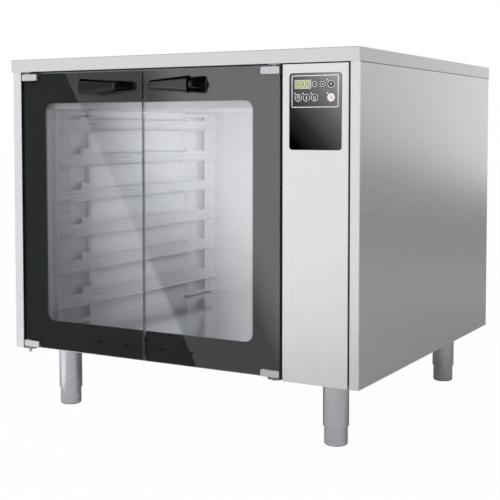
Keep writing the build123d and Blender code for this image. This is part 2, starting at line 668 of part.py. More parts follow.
def make_fan_plenum():
    """Pressed box behind the grille; its rim lies on the wall of the chamber."""
    outer = RectangleRounded(PLENUM_SIZE, PLENUM_SIZE, PLENUM_RADIUS)
    inner = RectangleRounded(PLENUM_SIZE - 2 * LINER_SHEET, PLENUM_SIZE - 2 * LINER_SHEET,
                             PLENUM_RADIUS - LINER_SHEET)
    rim_size = PLENUM_SIZE + 2 * PLENUM_RIM
    rim = RectangleRounded(rim_size, rim_size, PLENUM_RADIUS)
    box = extrude(fan_plane(COLUMN_LEFT) * outer, PLENUM_DEPTH)
    box += extrude(fan_plane(COLUMN_LEFT) * rim, LINER_SHEET)
    box -= extrude(fan_plane(COLUMN_LEFT) * inner, PLENUM_DEPTH - LINER_SHEET)
    box -= side_peg(FAN_Y, FAN_Z, 2 * SHAFT_RADIUS, COLUMN_LEFT, PLENUM_BACK)
    for y, z in heater_terminals():
        box -= side_peg(y, z, HEATER_TUBE_RADIUS, COLUMN_LEFT, PLENUM_BACK)
    return box


def fan_blade():
    """One backward-curved blade, standing on the back plate."""
    tip = FAN_RADIUS - FAN_SHEET
    swept = radians(-BLADE_SWEEP)
    line = ThreePointArc((BLADE_ROOT_RADIUS, 0), ((BLADE_ROOT_RADIUS + tip) / 2, BLADE_BOW),
                         (tip * cos(swept), tip * sin(swept)))
    return make_face(offset(line, FAN_SHEET, side=Side.RIGHT, closed=True))


def make_fan_impeller():
    """Centrifugal wheel: back plate, hub, curved blades and an inlet ring."""
    depth = FAN_DEPTH - FAN_SHEET
    disc = Circle(FAN_RADIUS) - Circle(SHAFT_RADIUS)
    plate = Pos(0, 0, depth) * extrude(disc, FAN_SHEET)
    hub = extrude(Circle(FAN_HUB_RADIUS) - Circle(SHAFT_RADIUS), depth)
    ring = extrude(Circle(FAN_RADIUS) - Circle(FAN_EYE_RADIUS), FAN_SHEET)
    blade = extrude(fan_blade(), depth + FAN_SHEET / 2)
    wheel = plate + hub + ring
    for index in range(FAN_BLADES):
        wheel += Rot(0, 0, index * 360 / FAN_BLADES) * blade
    return fan_plane(FAN_FACE) * wheel


def make_fan_shaft():
    return side_peg(FAN_Y, FAN_Z, SHAFT_RADIUS, FAN_FACE,
                    PLENUM_BACK + MOTOR_FLANGE + SHAFT_IN_MOTOR)


def make_fan_motor():
    """Flange on the plenum, ribbed body and domed end, bored for the shaft."""
    flange = Cylinder(MOTOR_FLANGE_RADIUS, MOTOR_FLANGE, align=(Align.CENTER, Align.CENTER,
                                                               Align.MIN))
    body = Pos(0, 0, MOTOR_FLANGE) * extrude(Circle(MOTOR_RADIUS - FAN_SHEET), MOTOR_LENGTH)
    body = fillet(body.faces().sort_by(Axis.Z)[-1].edges(), MOTOR_DOME_RADIUS)
    rib = Pos(MOTOR_RADIUS - FAN_SHEET, 0) * Rectangle(MOTOR_RIB_DEPTH, MOTOR_RIB_WIDTH)
    ribs = extrude(Sketch() + PolarLocations(0, MOTOR_RIBS) * rib, MOTOR_RIB_LENGTH)
    ribs = Pos(0, 0, MOTOR_FLANGE) * ribs
    bore_depth = MOTOR_FLANGE + SHAFT_IN_MOTOR + SHAFT_END_ROOM
    bore = extrude(Circle(SHAFT_RADIUS + SHAFT_CLEARANCE), bore_depth)
    return fan_plane(PLENUM_BACK) * (flange + body + ribs - bore)


def heater_terminals():
    """Where the two ends of the heating element leave the plenum, in y and z."""
    half = radians(HEATER_OPEN_ANGLE / 2)
    y, z = HEATER_RING_RADIUS * sin(half), HEATER_RING_RADIUS * cos(half)
    return (FAN_Y - y, FAN_Z - z), (FAN_Y + y, FAN_Z - z)


def make_heating_element():
    """Sheathed ring round the fan; both ends turn out through the plenum."""
    depth = COLUMN_LEFT + HEATER_DEPTH
    start = Plane(origin=(depth, FAN_Y, FAN_Z), x_dir=(0, 0, -1), z_dir=(0, 1, 0))
    section = start * Pos(HEATER_RING_RADIUS, 0) * Circle(HEATER_TUBE_RADIUS)
    axis = Axis((0, FAN_Y, FAN_Z), (1, 0, 0))
    ring = revolve(section, axis, 360 - HEATER_OPEN_ANGLE).rotate(axis, HEATER_OPEN_ANGLE / 2)
    for y, z in heater_terminals():
        ring += Pos(depth, y, z) * Sphere(HEATER_TUBE_RADIUS)
        ring += side_peg(y, z, HEATER_TUBE_RADIUS, depth, PLENUM_BACK + HEATER_TERMINAL)
    return ring


# ---------------------------------------------------------------- humidifier and lamp
def pan_block(margin, radius, z0, z1):
    """A round-cornered block over the water pan's plan, larger by a margin."""
    plan = RectangleRounded(PAN_WIDTH + 2 * margin, PAN_LENGTH + 2 * margin, radius)
    return Pos(PAN_X, PAN_Y, z0) * extrude(plan, z1 - z0)


def make_water_pan():
    """Deep-drawn pan hung by its rim in the floor of the chamber."""
    bottom = CHAMBER_FLOOR - PAN_DEPTH
    rim_top = CHAMBER_FLOOR + LINER_SHEET
    pan = pan_block(0, PAN_RADIUS, bottom, rim_top)
    pan = fillet(pan.faces().sort_by(Axis.Z)[0].edges(), PAN_BEND)
    pan += pan_block(PAN_RIM, PAN_RADIUS, CHAMBER_FLOOR, rim_top)
    hollow = pan_block(-LINER_SHEET, PAN_RADIUS - LINER_SHEET, bottom + LINER_SHEET, rim_top)
    return pan - fillet(hollow.faces().sort_by(Axis.Z)[0].edges(), PAN_BEND - LINER_SHEET)


def make_pan_heater():
    """Flat heater clamped under the pan, with two terminals."""
    top = CHAMBER_FLOOR - PAN_DEPTH
    mat = pan_block(-PAN_HEATER_MARGIN, PAN_HEATER_RADIUS, top - PAN_HEATER, top)
    for side in (-1, 1):
        mat += post(PAN_X + side * PAN_HEATER_MARGIN, PAN_Y, HEATER_TUBE_RADIUS,
                    top - 2 * PAN_HEATER, top - PAN_HEATER)
    return mat


def lamp_block(margin, radius, z0, z1):
    plan = RectangleRounded(LAMP_WIDTH - 2 * margin, LAMP_LENGTH - 2 * margin, radius)
    return Pos(LAMP_X, LAMP_Y, z0) * extrude(plan, z1 - z0)


def make_lamp_housing():
    """Tray over the cut-out in the ceiling."""
    z0 = CHAMBER_TOP + LINER_SHEET
    housing = lamp_block(0, LAMP_LENS_MARGIN, z0, z0 + LAMP_HOUSING)
    return housing - lamp_block(LAMP_LENS_MARGIN, LAMP_LENS_MARGIN, z0,
                                z0 + LAMP_HOUSING - SHEET)


def make_lamp_lens():
    """Crowned cover screwed under the ceiling."""
    lens = lamp_block(0, LAMP_LENS_MARGIN, CHAMBER_TOP - LAMP_LENS, CHAMBER_TOP)
    return fillet(lens.faces().sort_by(Axis.Z)[0].edges(), LAMP_LENS_RADIUS)


# ---------------------------------------------------------------- control column
def key_place(name):
    """Centre of a key in x and z."""
    column, row = KEYS[name][:2]
    return KEY_X - column * KEY_PITCH_X, KEY_Z - row * KEY_PITCH_Z


def led_places():
    lit = [key_place(name) for name, key in KEYS.items() if key[3]]
    return [(x - LED_OFFSET_X, z + LED_OFFSET_Z) for x, z in lit]


def board_box(margin, y0, y1):
    """A block behind the fascia's cut-out, larger by a margin."""
    return block(CUTOUT_LEFT - margin, CUTOUT_RIGHT + margin, y0, y1, CUTOUT_BOTTOM - margin,
                 CUTOUT_TOP + margin)


def make_control_fascia():
    """Column front with its side returns, the cut-out for the keys and four stand-offs."""
    outline = [(FASCIA_LEFT, FRAME_SETBACK), (FASCIA_LEFT, 0), (FASCIA_RIGHT, 0),
               (FASCIA_RIGHT, FRAME_SETBACK)]
    height = FASCIA_TOP - BODY_BOTTOM
    fascia = Pos(0, 0, BODY_BOTTOM) * folded(outline, height, side=Side.LEFT)
    for z in (BODY_BOTTOM, FASCIA_TOP - SHEET):
        fascia += block(FASCIA_LEFT + SHEET, FASCIA_RIGHT - SHEET, SHEET, FRAME_SETBACK / 2,
                        z, z + SHEET)
    fascia -= board_box(0, 0, SHEET)
    inset = BOARD_MARGIN / 2
    for x in (CUTOUT_LEFT - inset, CUTOUT_RIGHT + inset):
        for z in (CUTOUT_BOTTOM - inset, CUTOUT_TOP + inset):
            fascia += peg(x, z, STANDOFF_RADIUS, SHEET, BOARD_SETBACK)
    return fascia


def make_control_overlay():
    """Black front plate, holed for the keys, the lights and the display."""
    x = OVERLAY_X + OVERLAY_WIDTH / 2
    z = OVERLAY_Z + OVERLAY_HEIGHT / 2
    plate = RectangleRounded(OVERLAY_WIDTH, OVERLAY_HEIGHT, OVERLAY_RADIUS)
    plate = to_rear(plate, -OVERLAY_THICK, 0, x, z)
    plate = chamfer(plate.faces().sort_by(Axis.Y)[0].edges(), OVERLAY_CHAMFER)
    for name, key in KEYS.items():
        plate -= peg(*key_place(name), key[2] + KEY_CLEARANCE, -OVERLAY_THICK, 0)
    for place in led_places():
        plate -= peg(*place, LED_RADIUS + LED_CLEARANCE, -OVERLAY_THICK, 0)
    gap = DISPLAY_CLEARANCE
    return plate - block(DISPLAY_X - gap, DISPLAY_X + DISPLAY_WIDTH + gap, -OVERLAY_THICK, 0,
                         DISPLAY_Z - gap, DISPLAY_Z + DISPLAY_HEIGHT + gap)


def make_display_module():
    """Bezel flush with the overlay, window behind it and a body down to the board."""
    x1, z1 = DISPLAY_X + DISPLAY_WIDTH, DISPLAY_Z + DISPLAY_HEIGHT
    module = block(DISPLAY_X, x1, -OVERLAY_THICK, BOARD_SETBACK, DISPLAY_Z, z1)
    rim = DISPLAY_BEZEL
    return module - block(DISPLAY_X + rim, x1 - rim, -OVERLAY_THICK, -OVERLAY_THICK / 2,
                          DISPLAY_Z + rim, z1 - rim)


def make_control_board():
    """Circuit board on the stand-offs, with a switch behind each key and the lights."""
    board = board_box(BOARD_MARGIN, BOARD_SETBACK, BOARD_SETBACK + BOARD)
    half = SWITCH / 2
    for name in KEYS:
        x, z = key_place(name)
        board += block(x - half, x + half, BOARD_SETBACK - SWITCH_HEIGHT, BOARD_SETBACK,
                       z - half, z + half)
    for x, z in led_places():
        board += peg(x, z, LED_RADIUS, -OVERLAY_THICK - LED_PROUD, BOARD_SETBACK)
    return board


def make_key(name):
    """Cap, the collar that keeps it behind the overlay, and its stem."""
    x, z = key_place(name)
    radius = KEYS[name][2]
    cap = peg(x, z, radius, KEY_FRONT, KEY_PLAY)
    cap = fillet(cap.faces().sort_by(Axis.Y)[0].edges(), KEY_PROUD)
    cap += peg(x, z, radius + KEY_COLLAR, KEY_PLAY, KEY_PLAY + KEY_COLLAR_THICK)
    return cap + peg(x, z, KEY_STEM_RADIUS, KEY_PLAY + KEY_COLLAR_THICK, KEY_STEM_END)


# ---------------------------------------------------------------- doors, drawn for the left
def door_screws():
    """Screw holes through the glass: x, z and radius."""
    strikers = [(MEETING_X - distance, STRIKER_Z, STRIKER_SCREW_HOLE)
                for distance in STRIKER_SCREWS]
    handles = [(MEETING_X - distance, HANDLE_Z, DOOR_SCREW_HOLE)
               for distance in (POST_OUTER, POST_INNER)]
    return strikers + handles


def door_ends(height):
    """Bottom of a strip of the given height at the foot and at the head of the door."""
    return DOOR_BOTTOM, DOOR_TOP - height


def make_glass():
    """Toughened pane, notched for the hinge fittings and drilled for its screws."""
    pane = block(DOOR_LEFT, DOOR_MEETING, 0, GLASS, DOOR_BOTTOM, DOOR_TOP)
    pane = chamfer(pane.edges().filter_by(Axis.Z).sort_by(Axis.X)[-2:], GLASS_ARRIS)
    for z in door_ends(CLAMP_CORE_HEIGHT):
        pane -= block(DOOR_LEFT, DOOR_LEFT + CLAMP_CORE_WIDTH, 0, GLASS, z,
                      z + CLAMP_CORE_HEIGHT)
    for x, z, radius in door_screws():
        pane -= peg(x, z, radius, 0, GLASS)
    return pane


def make_frit():
    """Black border on the inner face: hinge side, head and foot."""
    edge = DOOR_MEETING - GLASS_ARRIS
    skin = block(DOOR_LEFT, edge, GLASS, GLASS + FRIT, DOOR_BOTTOM, DOOR_TOP)
    reach = edge - WINDOW_LEFT + 2 * WINDOW_RADIUS
    window = RectangleRounded(reach, WINDOW_TOP - WINDOW_BOTTOM, WINDOW_RADIUS)
    skin -= to_rear(window, GLASS, GLASS + FRIT, WINDOW_LEFT + reach / 2,
                    (WINDOW_TOP + WINDOW_BOTTOM) / 2)
    for z in door_ends(CLAMP_HEIGHT):
        skin -= block(DOOR_LEFT, DOOR_LEFT + CLAMP_WIDTH, GLASS, GLASS + FRIT, z,
                      z + CLAMP_HEIGHT)
    for x, z, radius in door_screws():
        skin -= peg(x, z, radius, GLASS, GLASS + FRIT)
    return skin


def hinge_clamp(z, notch):
    """Plates in front of and behind the glass, joined by a core in its notch."""
    x = DOOR_LEFT + CLAMP_WIDTH / 2
    plate = RectangleRounded(CLAMP_WIDTH, CLAMP_HEIGHT, CLAMP_RADIUS)
    middle = z + CLAMP_HEIGHT / 2
    clamp = to_rear(plate, -CLAMP_PLATE, 0, x, middle)
    clamp += to_rear(plate, GLASS, GLASS + CLAMP_PLATE, x, middle)
    return clamp + block(DOOR_LEFT, DOOR_LEFT + CLAMP_CORE_WIDTH, 0, GLASS, notch,
                         notch + CLAMP_CORE_HEIGHT)


def make_hinge_fittings(tail_length):
    """Upper and lower clamp, each with its pivot pin."""
    low, high = (hinge_clamp(*ends) for ends in zip(door_ends(CLAMP_HEIGHT),
                                                    door_ends(CLAMP_CORE_HEIGHT)))
    bracket_under = BODY_BOTTOM + SHEET
    tail = bracket_under - BUSH_GAP
    low_pin = post(PIVOT_X, PIVOT_Y, PIN_RADIUS, bracket_under - tail_length,
                   DOOR_BOTTOM + PIN_ENGAGED)
    clip = post(PIVOT_X, PIVOT_Y, BUSH_RADIUS, tail - CIRCLIP, tail)
    high_pin = post(PIVOT_X, PIVOT_Y, PIN_RADIUS, DOOR_TOP - PIN_ENGAGED, BODY_TOP - BUSH_GAP)
    return group([low - low_pin, high - high_pin, low_pin + clip, high_pin])


def make_handle_plate():
    """Tapered back plate, and the screws that hold it and the grip through the glass."""
    inner, outer = MEETING_X - PLATE_INNER, MEETING_X - PLATE_OUTER
    small, large = PLATE_INNER_HEIGHT / 2, PLATE_OUTER_HEIGHT / 2
    outline = Polyline((outer, HANDLE_Z + large), (inner, HANDLE_Z + small),
                       (inner, HANDLE_Z - small), (outer, HANDLE_Z - large), close=True)
    shape = make_face(outline)
    shape = fillet(shape.vertices(), PLATE_RADIUS)
    plate = to_rear(shape, -HANDLE_PLATE, 0)
    plate = chamfer(plate.faces().sort_by(Axis.Y)[0].edges(), HANDLE_PLATE_CHAMFER)
    pieces = [plate]
    for distance in (POST_OUTER, POST_INNER):
        x = MEETING_X - distance
        back = GLASS + FRIT
        screw = peg(x, HANDLE_Z, DOOR_SCREW_RADIUS, 0, back)
        screw += peg(x, HANDLE_Z, WASHER_RADIUS, back, back + SHEET)
        pieces.append(screw + peg(x, HANDLE_Z, DOOR_SCREW_HEAD, back + SHEET,
                                  back + SHEET + SCREW_HEAD_HEIGHT))
    return group(pieces)


def grip_section(distance, height, depth, inset=0.0):
    """Round-cornered cross-section of the grip at a distance from the meeting line."""
    plane = Plane(origin=(MEETING_X - distance, depth / 2 - GRIP_PROUD, HANDLE_Z),
                  x_dir=(0, 1, 0), z_dir=(1, 0, 0))
    wide, tall = depth - 2 * inset, height - 2 * inset
    return plane * RectangleRounded(wide, tall, wide * GRIP_ROUNDING)


def make_handle_grip():
    """Tapered bar, hollow from its wide end, on two posts."""
    bar = loft([grip_section(GRIP_INNER, GRIP_INNER_HEIGHT, GRIP_INNER_DEPTH),
                grip_section(GRIP_OUTER, GRIP_OUTER_HEIGHT, GRIP_OUTER_DEPTH)])
    end = bar.faces().sort_by(Axis.X)[-1]
    bar = fillet(end.edges(), GRIP_END_RADIUS)
    share = GRIP_BORE_LENGTH / (GRIP_OUTER - GRIP_INNER)
    taper_height = GRIP_OUTER_HEIGHT - (GRIP_OUTER_HEIGHT - GRIP_INNER_HEIGHT) * share
    taper_depth = GRIP_OUTER_DEPTH - (GRIP_OUTER_DEPTH - GRIP_INNER_DEPTH) * share
    bore_end = GRIP_OUTER - GRIP_BORE_LENGTH
    hollow = loft([grip_section(bore_end, taper_height, taper_depth, GRIP_WALL),
                   grip_section(GRIP_OUTER, GRIP_OUTER_HEIGHT, GRIP_OUTER_DEPTH, GRIP_WALL)])
    middle = GRIP_OUTER_DEPTH / 2 - GRIP_PROUD
    wide_post = peg(MEETING_X - POST_OUTER, HANDLE_Z, POST_OUTER_RADIUS,
                    middle - GRIP_OUTER_DEPTH / 4, -HANDLE_PLATE)
    wide_post = fillet(wide_post.faces().sort_by(Axis.Y)[0].edges(), GRIP_WALL)
    slim_post = peg(MEETING_X - POST_INNER, HANDLE_Z, POST_INNER_RADIUS,
                    GRIP_INNER_DEPTH / 2 - GRIP_PROUD, -HANDLE_PLATE)
    return bar - hollow + wide_post + slim_post


def make_edge_seal():
    """Soft strip on the meeting edge, from the foot of the door to below the handle."""
    return block(DOOR_MEETING, DOOR_MEETING + SEAL_WIDTH, SEAL_WIDTH / 2, GLASS, DOOR_BOTTOM,
                 DOOR_TOP - SEAL_TOP_DROP)


def make_striker_plate():
    """Steel strip behind the glass that the magnets hold, and its two screws."""
    back = GLASS + FRIT
    inner, outer = STRIKER_SCREWS
    x0 = MEETING_X - outer - STRIKER_MARGIN
    x1 = MEETING_X - inner + STRIKER_MARGIN
    half = STRIKER_HEIGHT / 2
    strip = block(x0, x1, back, back + STRIKER_THICK, STRIKER_Z - half, STRIKER_Z + half)
    pieces = [fillet(strip.edges().filter_by(Axis.Y), CLAMP_RADIUS)]
    for distance in STRIKER_SCREWS:
        x = MEETING_X - distance
        screw = peg(x, STRIKER_Z, STRIKER_SCREW_RADIUS, 0, back)
        pieces.append(screw + peg(x, STRIKER_Z, STRIKER_SCREW_HEAD, -STRIKER_SCREW_PROUD, 0))
    return group(pieces)


# ---------------------------------------------------------------- hinges and magnets
def hinge_bracket(under):
    """Plate through the front frame with a raised bush; the pin turns in it."""
    nose = BRACKET_FRONT + PIVOT_Y
    x0, x1 = PIVOT_X - BRACKET_WIDTH / 2, PIVOT_X + BRACKET_WIDTH / 2
    plate = block(x0, x1, PIVOT_Y - nose, BRACKET_REACH, under, under + BRACKET)
    return fillet(upright_edges(plate).sort_by(Axis.Y)[:2], BRACKET_RADIUS)


def make_hinge_brackets():
    low_z, high_z = BODY_BOTTOM + SHEET, BODY_TOP - BRACKET
    low, high = hinge_bracket(low_z), hinge_bracket(high_z)
    low += post(PIVOT_X, PIVOT_Y, BUSH_RADIUS, low_z + BRACKET, DOOR_BOTTOM - BUSH_GAP)
    high += post(PIVOT_X, PIVOT_Y, BUSH_RADIUS, DOOR_TOP + BUSH_GAP, high_z)
    bore = post(PIVOT_X, PIVOT_Y, PIN_RADIUS + PIN_CLEARANCE, BODY_BOTTOM, BODY_TOP)
    low, high = low - bore, high - bore
    return group([low, high, right_twin(low), right_twin(high)])


def make_door_magnets():
    """Pot magnets on the front frame behind each striker plate."""
    front = GLASS + FRIT + STRIKER_THICK + MAGNET_GAP
    pots = [peg(MEETING_X - distance, STRIKER_Z, MAGNET_RADIUS, front, FRAME_SETBACK)
            for distance in STRIKER_SCREWS]
    pots = [chamfer(pot.faces().sort_by(Axis.Y)[0].edges(), MAGNET_CHAMFER) for pot in pots]
    return group(pots + [right_twin(pot) for pot in pots])


# ---------------------------------------------------------------- legs and services
def make_leg_tubes():
    """Tube, cap and stud of each leg, and the nut plate above the base panel."""
    inner = LEG_RADIUS - LEG_WALL
    neck = FOOT_RADIUS + FOOT_CLEARANCE
    top = BODY_BOTTOM
    outline = Polyline((neck, FOOT_EXPOSED), (LEG_RADIUS, FOOT_EXPOSED), (LEG_RADIUS, top),
                       (STUD_RADIUS, top), (STUD_RADIUS, top + STUD_LENGTH),
                       (0, top + STUD_LENGTH), (0, top - LEG_CAP), (inner, top - LEG_CAP),
                       (inner, FOOT_EXPOSED + LEG_LIP), (neck, FOOT_EXPOSED + LEG_LIP),
                       close=True)
    tube = revolve(Plane.XZ * make_face(outline), Axis.Z)
    base_top = BODY_BOTTOM + SHEET
    plate = extrude(Rectangle(LEG_PLATE, LEG_PLATE) - Circle(STUD_RADIUS), LEG_PLATE_THICK)
    plate = chamfer(plate.edges().filter_by(Axis.Z).sort_by(Axis.X)[:2], LEG_PLATE_THICK)
    places = LEGS.values()
    return group([Pos(x, y, 0) * tube for x, y in places]
                 + [Pos(x, y, base_top) * plate for x, y in places])


def make_foot(name):
    """Sleeve that screws in and out of its leg, closed by a rounded sole."""
    inner = FOOT_RADIUS - FOOT_WALL
    top = FOOT_EXPOSED + FOOT_INSIDE
    outline = Polyline((0, 0), (FOOT_RADIUS - FOOT_CHAMFER, 0), (FOOT_RADIUS, FOOT_CHAMFER),
                       (FOOT_RADIUS, top), (inner, top), (inner, FOOT_SOLE), (0, FOOT_SOLE),
                       close=True)
    x, y = LEGS[name]
    return Pos(x, y, 0) * revolve(Plane.XZ * make_face(outline), Axis.Z)


def make_cable_gland():
    """Hexagon outside, threaded neck through the rear panel and a domed nut."""
    wall = REAR_FACE - 2 * SHEET
    outside = REAR_FACE + GLAND_COLLAR
    hexagon = RegularPolygon(GLAND_HEX / 2, 6)
    neck = peg(GLAND_X, GLAND_Z, GLAND_THREAD, wall - GLAND_INSIDE, REAR_FACE + GLAND_NECK)
    collar = to_rear(hexagon, wall + SHEET, outside, GLAND_X, GLAND_Z)
    dome = peg(GLAND_X, GLAND_Z, GLAND_DOME, outside, REAR_FACE + GLAND_PROUD)
    dome = fillet(dome.faces().sort_by(Axis.Y)[-1].edges(), GLAND_DOME_RADIUS)
    nut = to_rear(hexagon, wall - GLAND_NUT, wall, GLAND_X, GLAND_Z)
    bore = peg(GLAND_X, GLAND_Z, GLAND_BORE, wall - GLAND_INSIDE, REAR_FACE + GLAND_PROUD)
    return neck + collar + dome + nut - bore


def seated(size, place, base):
    """A block of a width, length and height, standing on the chassis along its middle."""
    width, length, height = size
    y = CHASSIS_Y + place
    return block(CHASSIS_X - width / 2, CHASSIS_X + width / 2, y - length / 2, y + length / 2,
                 base, base + height)


def make_power_supply():
    """Chassis plate on the base panel with transformer, contactor and terminal block."""
    z = BODY_BOTTOM + SHEET
    top = z + CHASSIS_THICK
    plate = seated((CHASSIS_WIDTH, CHASSIS_LENGTH, CHASSIS_THICK), 0, z)
    core = seated(TRANSFORMER_CORE, TRANSFORMER_PLACE, top)
    coil = seated(TRANSFORMER_COIL, TRANSFORMER_PLACE, top + TRANSFORMER_LIFT)
    contactor = fillet(upright_edges(seated(CONTACTOR, CONTACTOR_PLACE, top)), CONTACTOR_RADIUS)
    terminals = seated(TERMINAL_BLOCK, TERMINAL_PLACE, top)
    terminal_top = top + TERMINAL_BLOCK[2]
    for pole in range(TERMINAL_POLES):
        x = CHASSIS_X + (pole - (TERMINAL_POLES - 1) / 2) * TERMINAL_PITCH
        terminals -= post(x, CHASSIS_Y + TERMINAL_PLACE, TERMINAL_HOLE_RADIUS,
                          terminal_top - TERMINAL_HOLE_DEPTH, terminal_top)
    return plate + core + coil + contactor + terminals


# ---------------------------------------------------------------- list of pieces
def all_pieces():
    """Every named piece of the assembly."""
    pieces = {
        "top_cover": make_top_cover(),
        "left_side_panel": make_left_side_panel(),
        "right_side_panel": make_right_side_panel(),
        "rear_panel": make_rear_panel(),
        "base_panel": make_base_panel(),
        "front_frame": make_front_frame(),
        "door_gasket": make_door_gasket(),
        "liner_floor": make_liner_floor(),
        "liner_ceiling": make_liner_ceiling(),
        "liner_left_wall": make_liner_left_wall(),
        "liner_right_wall": make_liner_right_wall(),
        "liner_back_wall": make_liner_back_wall(),
        "fan_plenum": make_fan_plenum(),
        "fan_impeller": make_fan_impeller(),
        "fan_shaft": make_fan_shaft(),
        "fan_motor": make_fan_motor(),
        "heating_element": make_heating_element(),
        "water_pan": make_water_pan(),
        "pan_heater": make_pan_heater(),
        "lamp_housing": make_lamp_housing(),
        "lamp_lens": make_lamp_lens(),
        "control_fascia": make_control_fascia(),
        "control_overlay": make_control_overlay(),
        "display_module": make_display_module(),
        "control_board": make_control_board(),
        "hinge_brackets": make_hinge_brackets(),
        "door_magnets": make_door_magnets(),
        "leg_tubes": make_leg_tubes(),
        "cable_gland": make_cable_gland(),
        "power_supply": make_power_supply(),
    }
    for name in KEYS:
        pieces[name] = make_key(name)
    for name in LEGS:
        pieces[name] = make_foot(name)
    racks = {"rack_posts": make_left_rack_posts(), "tray_runners": make_left_tray_runners()}
    for name, left in racks.items():
        pieces["left_" + name] = left
        pieces["right_" + name] = right_twin(left)
    doors = {
        "glass": make_glass(),
        "glass_border": make_frit(),
        "handle_plate": make_handle_plate(),
        "handle_grip": make_handle_grip(),
        "edge_seal": make_edge_seal(),
        "striker_plate": make_striker_plate(),
    }
    for name, left in doors.items():
        pieces["left_" + name] = left
        pieces["right_" + name] = right_twin(left)
    pieces["left_hinge_fittings"] = make_hinge_fittings(LEFT_PIN_TAIL)
    pieces["right_hinge_fittings"] = right_twin(make_hinge_fittings(RIGHT_PIN_TAIL))
    return pieces


os.makedirs("parts", exist_ok=True)
for piece_name, piece in all_pieces().items():
    export_step(Pos(0, ORIGIN_SHIFT, 0) * piece, "parts/" + piece_name + ".step")
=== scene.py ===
"""Finishes, printed panel and small fittings of a two-door dough proofing cabinet.

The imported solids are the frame. This script gives each of them its finish, models the
pieces that are too small or too thin for the solids, and sets up the studio and camera.
Lengths in the dataclasses are millimetres in the frame's own axes: x to the right, y to
the rear and z up, from the middle of the floor under the cabinet.
"""

import json
import logging
import math
from collections.abc import Callable, Sequence
from dataclasses import dataclass, field
from enum import Enum

import bmesh
import bpy
from bpy.types import Material, Node, NodeTree, Object
from mathutils import Euler, Matrix, Vector

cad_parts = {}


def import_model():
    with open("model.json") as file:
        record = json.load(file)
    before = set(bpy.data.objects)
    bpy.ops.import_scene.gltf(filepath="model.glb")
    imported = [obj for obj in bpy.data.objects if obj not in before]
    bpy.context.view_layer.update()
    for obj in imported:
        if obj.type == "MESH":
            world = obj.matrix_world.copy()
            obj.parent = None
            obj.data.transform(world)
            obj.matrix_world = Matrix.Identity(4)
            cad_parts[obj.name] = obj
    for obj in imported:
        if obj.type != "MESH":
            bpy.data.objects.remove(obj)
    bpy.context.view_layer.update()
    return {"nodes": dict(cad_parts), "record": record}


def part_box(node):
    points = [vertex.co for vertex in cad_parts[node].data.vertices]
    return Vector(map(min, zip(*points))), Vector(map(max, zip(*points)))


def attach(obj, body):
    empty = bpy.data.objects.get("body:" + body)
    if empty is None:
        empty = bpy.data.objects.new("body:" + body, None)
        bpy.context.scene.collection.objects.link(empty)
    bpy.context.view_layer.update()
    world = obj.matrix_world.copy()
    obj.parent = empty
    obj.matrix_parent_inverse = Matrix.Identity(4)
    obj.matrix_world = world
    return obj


MM = 0.001
NEAR = 1e-5  # metres; closer than this counts as the same place
WELD = 1e-7  # metres; vertices closer than this are merged
SMOOTH = math.radians(40.0)  # edges that turn by more than this stay sharp
Place = tuple[float, float, float]
Spot = tuple[float, float]
log = logging.getLogger("proofer")


# ------------------------------------------------------------------ operators by hand
class Facing(Enum):
    """Which way the front of a flat piece looks, as Euler angles in radians."""

    FRONT = (math.pi / 2, 0.0, 0.0)
    REAR = (math.pi / 2, 0.0, math.pi)
    RIGHT = (math.pi / 2, 0.0, math.pi / 2)
    LEFT = (math.pi / 2, 0.0, -math.pi / 2)
    UP = (0.0, 0.0, 0.0)
    DOWN = (math.pi, 0.0, 0.0)


class Pick(Enum):
    """What an edit-mode selection is made of."""

    VERT = "VERT"
    EDGE = "EDGE"
    FACE = "FACE"


def clear_selection() -> None:
    """Leaves edit mode and deselects every object."""
    if bpy.context.object is not None and bpy.context.object.mode != "OBJECT":
        bpy.ops.object.mode_set(mode="OBJECT")
    bpy.ops.object.select_all(action="DESELECT")


def take(obj: Object) -> None:
    """Makes an object the only selected and active one.

    Args:
        obj: the object.
    """
    clear_selection()
    obj.select_set(True)
    bpy.context.view_layer.objects.active = obj


